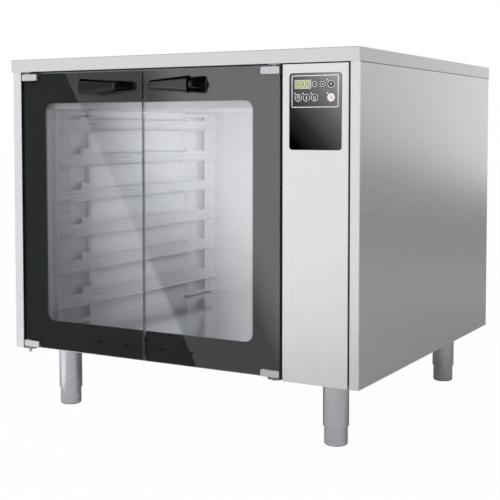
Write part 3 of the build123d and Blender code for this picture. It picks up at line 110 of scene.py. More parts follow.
class Workpiece:
    """One new object on the bench, shaped lying flat at the origin and then put in place."""

    def __init__(self, name: str, add: Callable[..., set[str]], **size: object) -> None:
        """Adds the primitive that the piece starts from.

        Args:
            name: the piece's name.
            add: the operator that adds the primitive.
            size: the operator's settings, in metres.
        """
        clear_selection()
        add(**size)
        self.obj = bpy.context.object
        self.obj.name = name
        self.obj.data.name = name
        bpy.ops.object.mode_set(mode="EDIT")

    @classmethod
    def sheet(cls, name: str, width: float, height: float) -> "Workpiece":
        """Starts a piece from a flat sheet.

        Args:
            name: the piece's name.
            width: in mm.
            height: in mm.

        Returns:
            The piece, all of it selected.
        """
        work = cls(name, bpy.ops.mesh.primitive_plane_add, size=1.0)
        bpy.ops.transform.resize(value=(width * MM, height * MM, 1.0))
        return work

    @classmethod
    def disc(cls, name: str, radius: float, corners: int) -> "Workpiece":
        """Starts a piece from a disc.

        Args:
            name: the piece's name.
            radius: in mm.
            corners: how many it has round its edge.

        Returns:
            The piece, all of it selected.
        """
        work = cls(name, bpy.ops.mesh.primitive_circle_add, vertices=corners,
                   radius=radius * MM, fill_type="NGON")
        work.pick_all()
        return work

    def pick(self, kind: Pick, test: Callable[[Vector], bool]) -> None:
        """Selects the vertices, edges or faces that pass a test, and nothing else.

        Args:
            kind: which of the three.
            test: says of an item's middle whether it is selected.
        """
        bpy.ops.mesh.select_mode(type=kind.value)
        mesh = bmesh.from_edit_mesh(self.obj.data)
        for part in (mesh.verts, mesh.edges, mesh.faces):
            for item in part:
                item.select = False
        chosen = {Pick.VERT: mesh.verts, Pick.EDGE: mesh.edges, Pick.FACE: mesh.faces}[kind]
        for item in chosen:
            spots = [item] if kind is Pick.VERT else item.verts
            middle = sum((v.co for v in spots), Vector()) / len(spots)
            if test(middle):
                item.select_set(True)
        mesh.select_flush_mode()
        bmesh.update_edit_mesh(self.obj.data)

    def pick_all(self) -> None:
        """Selects the whole piece."""
        bpy.ops.mesh.select_mode(type="VERT")
        bpy.ops.mesh.select_all(action="SELECT")

    def raise_up(self, height: float, scale: float = 1.0) -> None:
        """Extrudes the selection along z.

        Args:
            height: how far, in metres.
            scale: the size of the raised end, as a share of the selection's.
        """
        bpy.ops.mesh.extrude_region_move(TRANSFORM_OT_translate={"value": (0, 0, height)})
        if scale != 1.0:
            bpy.ops.transform.resize(value=(scale, scale, 1.0))

    def hollow(self, width: float, even: bool = True) -> None:
        """Insets the selected face by a width and deletes what is inside.

        Args:
            width: in metres.
            even: keeps the width at corners; off where a corner is too sharp for it.
        """
        bpy.ops.mesh.inset(thickness=width, depth=0, use_even_offset=even)
        bpy.ops.mesh.delete(type="FACE")

    def thicken(self, height: float) -> None:
        """Gives a flat piece its thickness, from z = 0 upwards.

        Args:
            height: in metres.
        """
        bpy.ops.object.mode_set(mode="OBJECT")
        solid = self.obj.modifiers.new("thickness", "SOLIDIFY")
        solid.thickness = height
        solid.offset = 1.0
        bpy.ops.object.modifier_apply(modifier=solid.name)
        bpy.ops.object.mode_set(mode="EDIT")

    def put(self, place: Place = (0.0, 0.0, 0.0), facing: Facing = Facing.UP) -> Object:
        """Closes the work: normals outwards, shading, and the place applied to the mesh.

        Args:
            place: where the piece's own origin goes, in mm.
            facing: which way its front looks.

        Returns:
            The finished object, at the origin, unturned and unscaled.
        """
        self.pick_all()
        bpy.ops.mesh.remove_doubles(threshold=WELD)
        bpy.ops.mesh.normals_make_consistent(inside=False)
        take(self.obj)
        bpy.ops.object.shade_smooth_by_angle(angle=SMOOTH)
        return stand(self.obj, place, facing)


def stand(obj: Object, place: Place, facing: Facing) -> Object:
    """Turns a piece that lies at the origin and moves it to its place.

    Args:
        obj: the piece.
        place: where its own origin goes, in mm.
        facing: which way its front looks.

    Returns:
        The piece, at the origin, unturned and unscaled.
    """
    take(obj)
    obj.location = [value * MM for value in place]
    obj.rotation_euler = facing.value
    bpy.ops.object.transform_apply(location=True, rotation=True, scale=True)
    return obj


def gather(name: str, parts: Sequence[Object]) -> Object:
    """Joins finished objects into one.

    Args:
        name: the joined piece's name.
        parts: the objects.

    Returns:
        The joined object.
    """
    clear_selection()
    for part in parts:
        part.select_set(True)
    bpy.context.view_layer.objects.active = parts[0]
    bpy.ops.object.join()
    joined = bpy.context.object
    joined.name = name
    joined.data.name = name
    return joined


def repeat(model: Object, name: str, moves: Sequence[Matrix]) -> Object:
    """Copies a finished piece to several places and joins the copies.

    Args:
        model: the piece at the origin; it is deleted afterwards.
        name: the joined piece's name.
        moves: one matrix for each copy.

    Returns:
        The joined object.
    """
    copies = []
    for move in moves:
        twin = model.copy()
        twin.data = model.data.copy()
        twin.data.transform(move)
        if move.determinant() < 0:
            twin.data.flip_normals()
        bpy.context.scene.collection.objects.link(twin)
        copies.append(twin)
    bpy.data.objects.remove(model)
    return gather(name, copies)


def box_mm(node: str) -> tuple[Vector, Vector]:
    """Low and high corner of a solid's box, in mm."""
    low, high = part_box(node)
    return Vector(low) / MM, Vector(high) / MM


def middle_of(node: str) -> Vector:
    """Middle of a solid's box, in mm."""
    low, high = box_mm(node)
    return (low + high) / 2


# ------------------------------------------------------------------ finishes
def blank(name: str) -> tuple[Material, NodeTree]:
    """Starts a material from nothing.

    Args:
        name: the material's name.

    Returns:
        The material and its empty node tree.
    """
    material = bpy.data.materials.new(name)
    material.use_nodes = True
    material.node_tree.nodes.clear()
    return material, material.node_tree


def linear(colour: str) -> tuple[float, float, float, float]:
    """Turns an sRGB colour into Blender's linear one.

    Args:
        colour: as "#" and six hex digits.

    Returns:
        Red, green, blue and an opacity of 1.
    """
    values = [int(colour[i:i + 2], 16) / 255 for i in (1, 3, 5)]
    low = [v / 12.92 if v <= 0.04045 else ((v + 0.055) / 1.055) ** 2.4 for v in values]
    return (low[0], low[1], low[2], 1.0)


Links = dict[str | int, tuple[Node, str | int]]


def add_node(tree: NodeTree, kind: str, inputs: dict | None = None,
             links: Links | None = None, **settings: object) -> Node:
    """Adds one node to a tree.

    Args:
        tree: the node tree.
        kind: the node's type, without its prefix ShaderNode.
        inputs: constant values by socket.
        links: for each linked socket, the source node and its output.
        settings: the node's own properties.

    Returns:
        The node.
    """
    node = tree.nodes.new(f"ShaderNode{kind}")
    for key, value in settings.items():
        setattr(node, key, value)
    for key, value in (inputs or {}).items():
        node.inputs[key].default_value = value
    for key, (source, output) in (links or {}).items():
        tree.links.new(source.outputs[output], node.inputs[key])
    return node


class Grain(Enum):
    """The pattern a surface was left with, by the detail of its noise."""

    BRUSHED = 3.0  # drawn out along the brushing
    CAST = 1.0  # rounded
    SPANGLE = 0.0  # zinc crystals, without noise


CLOUD_SHARE = 0.35  # weight of the slow unevenness beside the grain in the roughness


@dataclass(frozen=True)
class Finish:
    """A surface as its maker left it.

    Attributes:
        name: the material's name, after the real one.
        colour: sRGB hex of the surface.
        roughness: its mean roughness.
        metallic: 1 for bare metal.
        grain: kind of pattern.
        grain_mm: size of one grain, along x, y and z where it is drawn out.
        spread: how far roughness strays from its mean.
        tint: how far the brightness strays, as a share.
        relief_mm: height of the grain.
        cloud_mm: size of the slow unevenness of handling and rolling.
        specular: dielectric specular level.
        glow: emission strength in the surface's own colour.
    """

    name: str
    colour: str
    roughness: float
    metallic: float = 0.0
    grain: Grain = Grain.CAST
    grain_mm: Place | float = 0.5
    spread: float = 0.05
    tint: float = 0.05
    relief_mm: float = 0.002
    cloud_mm: float = 180.0
    specular: float = 0.5
    glow: float = 0.0

    def pattern(self, tree: NodeTree) -> tuple[Node, str]:
        """Adds the grain's texture, on object coordinates.

        Args:
            tree: the material's node tree.

        Returns:
            The texture's node and the name of its output.
        """
        where = add_node(tree, "TexCoord")
        sizes = self.grain_mm if isinstance(self.grain_mm, tuple) else (self.grain_mm,) * 3
        scale = tuple(1.0 / (size * MM) for size in sizes)
        fitted = add_node(tree, "Mapping", {"Scale": scale},
                          {"Vector": (where, "Object")})
        if self.grain is Grain.SPANGLE:
            cells = add_node(tree, "TexVoronoi", {"Scale": 1.0},
                             {"Vector": (fitted, 0)})
            grey = add_node(tree, "SeparateColor", links={"Color": (cells, "Color")})
            return grey, "Red"
        noise = add_node(tree, "TexNoise",
                         {"Scale": 1.0, "Detail": self.grain.value}, {"Vector": (fitted, 0)})
        return noise, "Fac"

    def clouds(self, tree: NodeTree) -> Node:
        """Adds the slow unevenness.

        Args:
            tree: the material's node tree.

        Returns:
            The texture's node.
        """
        where = add_node(tree, "TexCoord")
        return add_node(tree, "TexNoise",
                        {"Scale": 1.0 / (self.cloud_mm * MM), "Detail": 1.0},
                        {"Vector": (where, "Object")})

    def surface(self, tree: NodeTree) -> Node:
        """Adds the shader with its pattern.

        Args:
            tree: the material's node tree.

        Returns:
            The shader's node.
        """
        source, output = self.pattern(tree)
        both = add_node(tree, "Math", {1: CLOUD_SHARE},
                        {0: (self.clouds(tree), "Fac"), 2: (source, output)},
                        operation="MULTIPLY_ADD")
        rough = add_node(tree, "MapRange",
                         {"From Min": CLOUD_SHARE, "From Max": 1.0,
                          "To Min": max(self.roughness - self.spread, 0.0),
                          "To Max": self.roughness + self.spread}, {"Value": (both, 0)})
        red, green, blue, _ = linear(self.colour)
        dark, light = ([min(part * share, 1.0) for part in (red, green, blue)] + [1.0]
                       for share in (1.0 - self.tint, 1.0 + self.tint))
        shade = add_node(tree, "Mix", {6: dark, 7: light},
                         {0: (source, output)}, data_type="RGBA")
        bump = add_node(tree, "Bump",
                        {"Strength": 1.0, "Distance": self.relief_mm * MM},
                        {"Height": (source, output)})
        return add_node(tree, "BsdfPrincipled",
                        {"Metallic": self.metallic, "Specular IOR Level": self.specular,
                         "Emission Color": linear(self.colour),
                         "Emission Strength": self.glow},
                        {"Base Color": (shade, 2), "Roughness": (rough, 0),
                         "Normal": (bump, 0)})

    def make(self) -> Material:
        """Builds the material, once.

        Returns:
            The material.
        """
        if self.name in bpy.data.materials:
            return bpy.data.materials[self.name]
        material, tree = blank(self.name)
        shader = self.surface(tree)
        add_node(tree, "OutputMaterial", links={"Surface": (shader, 0)})
        return material


@dataclass(frozen=True)
class PaneFinish(Finish):
    """Clear glass or clear rubber: see-through, with a mirror that grows at grazing angles.

    Attributes:
        mirror: share of light that each of its faces mirrors head on.
        wiped: share of light that its dullest wiping marks let through.
        rise: power by which the mirror grows towards grazing angles.
    """

    mirror: float = 0.05
    wiped: float = 0.97
    rise: float = 5.0

    def surface(self, tree: NodeTree) -> Node:
        """Adds a clear shader under a sharp mirror, with faint wiping marks.

        Args:
            tree: the material's node tree.

        Returns:
            The shader's node.
        """
        source, output = self.pattern(tree)
        facing = add_node(tree, "LayerWeight", {"Blend": 0.5})
        steep = add_node(tree, "Math", {1: self.rise}, {0: (facing, "Facing")},
                         operation="POWER")
        mirrored = add_node(tree, "MapRange",
                            {"To Min": self.mirror, "To Max": 1.0}, {"Value": (steep, 0)})
        wiped = add_node(tree, "MapRange",
                         {"To Min": self.wiped, "To Max": 1.0}, {"Value": (source, output)})
        shade = add_node(tree, "Mix", data_type="RGBA", blend_type="MULTIPLY",
                         inputs={0: 1.0, 6: linear(self.colour)}, links={7: (wiped, 0)})
        clear = add_node(tree, "BsdfTransparent", links={"Color": (shade, 2)})
        mirror = add_node(tree, "BsdfGlossy",
                          {"Roughness": self.roughness, "Color": (1.0, 1.0, 1.0, 1.0)})
        return add_node(tree, "MixShader",
                        links={0: (mirrored, 0), 1: (clear, 0), 2: (mirror, 0)})


class Finishes:
    """Every finish of the cabinet; a solid's is named for its slot.

    A grain finer than 0.3 mm, as of brushing or of a moulded skin, is drawn that coarse or
    coarser, so that it shows.
    """

    # Grade 304 sheet, belt brushed: a soft white sheen with fine lines along the brushing,
    # which are 0.2 mm wide on the sheet and 0.9 mm here.
    outer_steel = Finish(
        "brushed_304_front", "#E6E7E7", 0.30, metallic=1.0, grain=Grain.BRUSHED,
        grain_mm=(0.9, 0.9, 90.0), tint=0.025, relief_mm=0.004, cloud_mm=260.0)
    brushed_side = Finish(
        "brushed_304_side", "#E1E0E4", 0.26, metallic=1.0, grain=Grain.BRUSHED,
        grain_mm=(0.9, 90.0, 0.9), spread=0.03, tint=0.015, relief_mm=0.0015, cloud_mm=260.0)
    # The same 304 sheet as the front, brushed along x; its darker colour is painted shade.
    brushed_cover = Finish(
        "brushed_304_cover", "#DADADC", 0.30, metallic=1.0, grain=Grain.BRUSHED,
        grain_mm=(90.0, 0.9, 0.9), tint=0.025, relief_mm=0.004, cloud_mm=260.0)
    # The return of the front frame, and the hinge brackets: pickled sheet, dull, and painted
    # dark grey as the shade of the doors and the cover.
    pickled_frame = Finish(
        "pickled_frame_sheet", "#8E9093", 0.42, metallic=1.0, grain_mm=1.2, spread=0.06,
        relief_mm=0.004, cloud_mm=90.0)
    # The chamber's floor is the brightest sheet: nearly a mirror under the racks.
    polished_floor = Finish(
        "polished_chamber_floor", "#D5D7DA", 0.12, metallic=0.85, grain=Grain.BRUSHED,
        grain_mm=(160.0, 5.0, 160.0), spread=0.04, tint=0.02, relief_mm=0.001, cloud_mm=140.0)
    # Mill-finished sheet: a milky sheen under a soft mirror, with faint rolling streaks.
    liner_steel = Finish(
        "mill_finished_liner", "#DCDDE0", 0.34, metallic=0.45, grain=Grain.BRUSHED,
        grain_mm=(140.0, 4.0, 140.0), spread=0.06, tint=0.03, cloud_mm=120.0)
    # Racks: cold-rolled strip, brushed along the runners: pale, with soft streaks.
    rack_steel = Finish(
        "bright_rack_steel", "#D2D3D7", 0.30, metallic=0.5, grain=Grain.BRUSHED,
        grain_mm=(2.0, 120.0, 2.0), tint=0.03, cloud_mm=120.0)
    # Satin sheet that faces the wall: rolled, not belted, so it is duller than the sides; its
    # darker grey is painted shade that dims the bright reflections of its louvres.
    satin_rear = Finish(
        "satin_rear_sheet", "#C9CBCD", 0.46, metallic=1.0, grain=Grain.BRUSHED,
        grain_mm=(0.9, 0.9, 90.0), tint=0.025, relief_mm=0.003, cloud_mm=260.0)
    # Turned and belt-ground tube: satin, with fine rings that run round it.
    satin_steel = Finish(
        "satin_304_tube", "#CCCBD0", 0.28, metallic=1.0, grain=Grain.BRUSHED,
        grain_mm=(30.0, 30.0, 0.7), spread=0.04, tint=0.02, relief_mm=0.0015, cloud_mm=60.0)
    # Hot-dip zinc on folded sheet: dull grey crystals some millimetres across.
    zinc_sheet = Finish(
        "galvanised_sheet", "#A9ADB0", 0.45, metallic=1.0, grain=Grain.SPANGLE, grain_mm=9.0,
        spread=0.12, tint=0.12, relief_mm=0.0, cloud_mm=90.0)
    # Pressure-cast aluminium wheel: pale grey with a fine sandy skin.
    cast_aluminium = Finish(
        "cast_aluminium", "#B4B6B8", 0.48, metallic=1.0, grain_mm=0.8, spread=0.08,
        relief_mm=0.03)
    # Stoved enamel over the cast ribs of the motor: blue-black, half gloss.
    motor_enamel = Finish(
        "stoved_motor_enamel", "#2C3136", 0.42, grain_mm=0.7, spread=0.06, tint=0.06,
        relief_mm=0.02)
    # A dark grey bead, drawn as a line: painted shadow that stands for the shadow line under
    # the cover's overhang.
    sealant = Finish("grey_silicone_sealant", "#37383B", 0.5, grain_mm=1.0, relief_mm=0.01)
    # Nickel-alloy sheath, blued by its own heat.
    heater_sheath = Finish(
        "oxidised_heater_sheath", "#6C6258", 0.5, metallic=1.0, grain_mm=14.0, spread=0.12,
        tint=0.25, relief_mm=0.01, cloud_mm=40.0)
    # Nickel over steel pots, painted dark grey as the shade that the doors cast on them.
    magnet_black = Finish(
        "nickelled_pot_magnet", "#3A3B3D", 0.4, metallic=0.6, grain_mm=0.6, spread=0.06,
        tint=0.04, relief_mm=0.01)
    # The strikers and their screws are blacked and oiled: they swallow nearly all light.
    black_steel = Finish(
        "blacked_striker_steel", "#030304", 0.7, grain_mm=0.4, spread=0.08, tint=0.1,
        relief_mm=0.01, specular=0.1)
    # Toughened float glass: nearly clear, with a hard bright face.
    door_glass = PaneFinish(
        "toughened_float_glass", "#FBFCFD", 0.0, grain_mm=(60.0, 60.0, 9.0), mirror=0.08)
    # Ceramic enamel fired on the back of the glass: deep green-black, slightly dull.
    black_enamel = Finish(
        "fired_black_enamel", "#232625", 0.5, tint=0.06, relief_mm=0.001, specular=0.1)
    # Grips and their back plates: polished mouldings that mirror as the glass does.
    grip_plastic = Finish(
        "polished_black_nylon", "#060607", 0.0, grain_mm=40.0, spread=0.0, relief_mm=0.0,
        cloud_mm=60.0)
    # Moulded nylon, as on the cable gland: dull black.
    black_plastic = Finish(
        "moulded_black_nylon", "#121114", 0.5, spread=0.07, tint=0.08, relief_mm=0.01,
        cloud_mm=60.0, specular=0.15)
    # Extruded EPDM: matt, with a faint bloom.
    black_rubber = Finish(
        "epdm_bulb_seal", "#131414", 0.62, grain_mm=0.8, spread=0.08, tint=0.12,
        relief_mm=0.03)
    # Translucent rubber lip between the doors: milky, with a soft shine.
    clear_seal = PaneFinish(
        "translucent_edge_seal", "#CDD1D1", 0.3, grain_mm=(6.0, 6.0, 20.0), mirror=0.08)
    # Back-printed acrylic: a deep gloss black that mirrors the studio.
    overlay_black = Finish(
        "back_printed_acrylic", "#000001", 0.0, grain_mm=40.0, spread=0.0, tint=0.1,
        relief_mm=0.0, specular=1.0)
    # Push keys: moulded caps, in glossy black or satin white.
    key_black = Finish(
        "moulded_key_black", "#0C0C0E", 0.12, grain_mm=0.6, spread=0.03, tint=0.1,
        specular=0.6)
    key_white = Finish(
        "moulded_key_white", "#F1EFEC", 0.25, grain_mm=0.6, spread=0.04, tint=0.02)
    # Screen inks; the white one is lit a little from behind.
    ink_white = Finish("screen_ink_white", "#E8E9EA", 0.4, grain_mm=0.3, glow=0.12)
    ink_red = Finish("screen_ink_red", "#C8323C", 0.4, grain_mm=0.3)
    # Tinted polycarbonate domes over the indicator lights, lit from behind.
    indicator = Finish(
        "lit_polycarbonate_lens", "#A9D2C3", 0.15, spread=0.03, tint=0.06, glow=0.35)
    # The read-out: pale bezel, smoked window and lit segments.
    display_body = Finish(
        "moulded_display_body", "#D4D4D8", 0.35, spread=0.04, tint=0.04, relief_mm=0.004)
    display_glass = Finish(
        "smoked_display_window", "#8C8A90", 0.18, spread=0.02, tint=0.06, relief_mm=0.0,
        glow=0.2)
    segment = Finish(
        "lit_display_segment", "#B9CC40", 0.3, grain_mm=0.4, spread=0.03, relief_mm=0.0,
        glow=0.4)
    # Glass-epoxy board under solder mask: dark green, half gloss.
    circuit_board = Finish(
        "glass_epoxy_board", "#1F4A33", 0.35, grain_mm=0.6, tint=0.15, relief_mm=0.01)
    # Opal polycarbonate over the chamber's lamp, evenly lit.
    lamp_lens = Finish(
        "opal_lamp_cover", "#FFFDF8", 0.3, grain_mm=2.0, spread=0.03, tint=0.02,
        relief_mm=0.01, glow=9.0)


# These leave their slot's finish: the brushing runs another way, or the sheet is another one;
# the cover, the rear panel, the front frame and the hinge brackets are also painted darker as
# shade.
NODE_FINISH = {
    "left_side_panel": Finishes.brushed_side,
    "right_side_panel": Finishes.brushed_side,
    "top_cover": Finishes.brushed_cover,
    "rear_panel": Finishes.satin_rear,
    # painted shade: the frame and the brackets are darkened for the shade of the doors and the
    # cover
    "front_frame": Finishes.pickled_frame,
    "hinge_brackets": Finishes.pickled_frame,
    "liner_floor": Finishes.polished_floor,
}
ENAMEL_BITE = 0.03  # the fired enamel reaches this far into the glass, and hides its rear face


def dress_frame(frame: dict) -> None:
    """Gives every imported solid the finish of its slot.
    """
    slots = {part["node"]: part["material_slot"] for part in frame["record"]["subparts"]}
    for name, node in frame["nodes"].items():
        finish = NODE_FINISH.get(name) or getattr(Finishes, slots[name])
        node.data.materials.clear()
        node.data.materials.append(finish.make())
    for side in ("left", "right"):
        shift = frame["nodes"][f"{side}_glass_border"].modifiers.new("enamel_bite", "DISPLACE")
        shift.direction = "Y"
        shift.mid_level = 0.0
        shift.strength = -ENAMEL_BITE * MM
    log.info("finished %d solids", len(frame["nodes"]))


def fit(obj: Object, finish: Finish, body: str) -> None:
    """Gives a new piece its finish and the body that it moves with.

    Args:
        obj: the piece.
        finish: its finish.
        body: the body.
    """
    obj.data.materials.clear()
    obj.data.materials.append(finish.make())
    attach(obj, body)
    log.info("%s rides on %s", obj.name, body)


# ------------------------------------------------------------------ printed symbols
class Symbol(Enum):
    """Generic signs for the keys."""

    LESS = "less"
    MORE = "more"
    HUMIDITY = "humidity"
    TIMER = "timer"
    TEMPERATURE = "temperature"
    STEAM = "steam"
    POWER = "power"


# Strokes of the signs: width, height, and the place of the middle across and up, in mm.
STROKES = {
    Symbol.LESS: ((4.6, 1.3, 0.0, 0.0),),
    Symbol.MORE: ((4.6, 1.3, 0.0, 0.0), (1.3, 1.4, 0.0, 1.35), (1.3, 1.4, 0.0, -1.35)),
    Symbol.TIMER: ((0.8, 2.418, 0.0, 1.17), (1.95, 0.8, 1.638, 0.0), (3.12, 1.0, 0.0, 4.8)),
    Symbol.TEMPERATURE: ((1.5, 4.96, 0.0, 1.36), (1.3, 0.6, 2.2, 2.56), (1.3, 0.6, 2.2, 0.64)),
    Symbol.STEAM: ((7.0, 0.8, 0.0, -4.34),),
    Symbol.POWER: ((1.0, 3.4, 0.0, 2.38),),
}
# Their rings: outer radius, width of the line, height of the middle, and gap at the top.
RINGS = {
    Symbol.TIMER: ((3.9, 0.8, 0.0, 0.0),),
    Symbol.TEMPERATURE: ((1.6, 1.6, -2.4, 0.0),),
    Symbol.POWER: ((3.4, 1.0, 0.0, 3.06),),
}
# The lines of steam: place across, and height.
WAVES = {Symbol.STEAM: ((-2.3, 5.6), (0.0, 7.0), (2.3, 5.6))}


@dataclass
class Signs:
    """Flat signs, drawn lying at the origin and thickened as ink.

    Attributes:
        ink: thickness of the ink film.
        line: width of a thin line.
        rounding: of a stroke's corners, as a share of its width.
        steps: edges round each of those corners.
        hub: how far inside a full disc its inner ring of edges lies, as a share.
        drop: radius of the drop's belly.
        pulls: heights above which the drop is drawn up, step by step, in radii.
        pull: how far each step draws it up, in radii.
        waist: how much each step narrows it.
        sway: how far a line of steam sways.
        rows: faces along a line of steam.
        facets: corners of a full circle.
    """

    ink: float = 0.08
    line: float = 0.8
    rounding: float = 0.3
    steps: int = 3
    hub: float = 0.4
    drop: float = 2.4
    pulls: Place = (0.15, 0.6, 1.05)
    pull: float = 0.28
    waist: float = 0.72
    sway: float = 0.7
    rows: int = 10
    facets: int = 40

    def stroke(self, width: float, height: float, x: float, y: float) -> Object:
        """Draws a straight line of ink with rounded corners.

        Args:
            width: along x, in mm.
            height: along y, in mm.
            x: of its middle, in mm.
            y: of its middle, in mm.

        Returns:
            The line, lying at the origin.
        """
        work = Workpiece.sheet("sign", width, height)
        bpy.ops.mesh.bevel(offset=min(width, height) * self.rounding * MM,
                           segments=self.steps, affect="VERTICES")
        work.thicken(self.ink * MM)
        return work.put((x, y, 0.0))

    def ring(self, radius: float, width: float, y: float = 0.0,
             gap: float = 0.0) -> Object:
        """Draws a ring of ink, whole or open at its top.

        Args:
            radius: outer radius, in mm.
            width: of the line, in mm; as wide as the radius for a full disc.
            y: height of its middle, in mm.
            gap: width of the opening at the top, in mm.

        Returns:
            The ring, lying at the origin.
        """
        work = Workpiece.disc("sign", radius, self.facets)
        if width < radius:
            work.hollow(width * MM)
        else:
            bpy.ops.mesh.inset(thickness=radius * self.hub * MM, depth=0)
        if gap:
            work.pick(Pick.FACE, lambda c: c.y > 0 and abs(c.x) < gap / 2 * MM)
            bpy.ops.mesh.delete(type="FACE")
        work.thicken(self.ink * MM)
        return work.put((0.0, y, 0.0))

    def droplet(self) -> Object:
        """Draws a drop: a ring whose upper half is drawn up to a point.

        Returns:
            The drop, lying at the origin.
        """
        work = Workpiece.disc("sign", self.drop, self.facets)
        radius = self.drop * MM
        for height in self.pulls:
            work.pick(Pick.VERT, lambda c, h=height: c.y > h * radius)
            bpy.ops.transform.translate(value=(0, self.pull * radius, 0))
            bpy.ops.transform.resize(value=(self.waist, 1.0, 1.0), center_override=(0, 0, 0))
        work.pick_all()
        work.hollow(self.line * MM, even=False)
        work.thicken(self.ink * MM)
        return work.put()

    def wave(self, x: float, height: float) -> Object:
        """Draws a rising line of steam.

        Args:
            x: its place across, in mm.
            height: in mm.

        Returns:
            The line, lying at the origin.
        """
        work = Workpiece("sign", bpy.ops.mesh.primitive_grid_add, x_subdivisions=1,
                         y_subdivisions=self.rows, size=1.0)
        bpy.ops.transform.resize(value=(self.line * MM, height * MM, 1.0))
        for row in range(self.rows + 1):
            share = row / self.rows
            y = (share - 0.5) * height * MM
            work.pick(Pick.VERT, lambda c, at=y: abs(c.y - at) < NEAR)
            sway = math.sin(share * 2 * math.pi) * self.sway
            bpy.ops.transform.translate(value=((x + sway) * MM, 0, 0))
        work.thicken(self.ink * MM)
        return work.put()

    def draw(self, symbol: Symbol) -> list[Object]:
        """Draws a sign.

        Args:
            symbol: the sign.

        Returns:
            Its parts, still separate.
        """
        if symbol is Symbol.HUMIDITY:
            return [self.droplet()]
        return [shape(*sizes) for shape, table in
                ((self.stroke, STROKES), (self.ring, RINGS), (self.wave, WAVES))
                for sizes in table.get(symbol, ())]


@dataclass
class Keys:
    """Printed ring and sign of each push key.

    Attributes:
        collar: how far a key's collar, its widest part, stands out past its cap.
        edge: bare rim of the cap outside the ring.
        width: width of the ring.
        signs: the drawn signs.
    """

    collar: float = 0.6
    edge: float = 0.6
    width: float = 1.05
    signs: Signs = field(default_factory=Signs)

    def build(self) -> None:
        """Prints the seven keys; each print rides on its own key."""
        for symbol in Symbol:
            name = symbol.value
            low, high = box_mm(f"key_{name}")
            parts = self.signs.draw(symbol)
            finish = Finishes.ink_red
            if symbol is not Symbol.POWER:
                radius = (high.x - low.x) / 2 - self.collar - self.edge
                parts.append(self.signs.ring(radius, self.width))
                finish = Finishes.ink_white
            place = ((low.x + high.x) / 2, low.y, (low.z + high.z) / 2)
            sign = stand(gather(f"{name}_print", parts), place, Facing.FRONT)
            fit(sign, finish, f"{name}_key")


# ------------------------------------------------------------------ control panel
# Segments of a nought: places across and up, in widths and half heights, and turn in degrees.
NOUGHT = ((0.0, 1.0, 0.0), (0.0, -1.0, 0.0), (-0.5, 0.5, 90.0), (0.5, 0.5, 90.0),
          (-0.5, -0.5, 90.0), (0.5, -0.5, 90.0))


@dataclass
class Display:
    """Window and digits of the read-out.

    Attributes:
        digits: how many noughts it shows.
        recess: of the window behind the bezel's face.
        rim: width of the bezel.
        digit_width: of one digit.
        digit_height: of one digit.
        pitch: from digit to digit.
        stroke: width of a segment.
        lean: slope of the digits.
        thick: thickness of the segments.
        tip: width of a segment's tips, as a share of the stroke.
        frame: width of the window's raised frame, in strokes.
    """

    digits: int = 3
    recess: float = 0.6
    rim: float = 1.7
    digit_width: float = 6.6
    digit_height: float = 11.4
    pitch: float = 10.4
    stroke: float = 1.7
    lean: float = 0.14
    thick: float = 0.1
    tip: float = 0.05
    frame: float = 0.4

    def segment(self) -> Object:
        """Shapes one segment that lies along x, drawn to a point at both ends.

        Returns:
            The segment, lying at the origin.
        """
        length = self.digit_width - self.stroke * 0.5
        work = Workpiece.sheet("segment", length - self.stroke, self.stroke)
        for side in (-1, 1):
            work.pick(Pick.EDGE, lambda c, s=side: c.x * s > NEAR)
            bpy.ops.mesh.extrude_edges_move(
                TRANSFORM_OT_translate={"value": (side * self.stroke / 2 * MM, 0, 0)})
            bpy.ops.transform.resize(value=(1.0, self.tip, 1.0))
        work.thicken(self.thick * MM)
        return work.put()

    def build(self) -> None:
        """Makes the window and the digits."""
        low, high = box_mm("display_module")
        middle = (low + high) / 2
        front = low.y + self.recess
        work = Workpiece.sheet("display_window", high.x - low.x - 2 * self.rim,
                               high.z - low.z - 2 * self.rim)
        bpy.ops.mesh.inset(thickness=self.stroke * self.frame * MM, depth=self.thick * MM)
        work.thicken(self.thick * MM)
        window = work.put((middle.x, front, middle.z), Facing.FRONT)
        fit(window, Finishes.display_glass, "cabinet")
        moves = []
        lean = Matrix.Identity(4)
        lean[0][1] = self.lean
        for index in range(self.digits):
            x = (index - (self.digits - 1) / 2) * self.pitch
            for right, up, turn in NOUGHT:
                spot = (right * self.digit_width * MM, up * self.digit_height / 2 * MM, 0)
                moves.append(Matrix.Translation((x * MM, 0, 0)) @ lean
                             @ Matrix.Translation(spot)
                             @ Matrix.Rotation(math.radians(turn), 4, "Z"))
        digits = repeat(self.segment(), "display_digits", moves)
        stand(digits, (middle.x, front - 2 * self.thick, middle.z), Facing.FRONT)
        fit(digits, Finishes.segment, "cabinet")


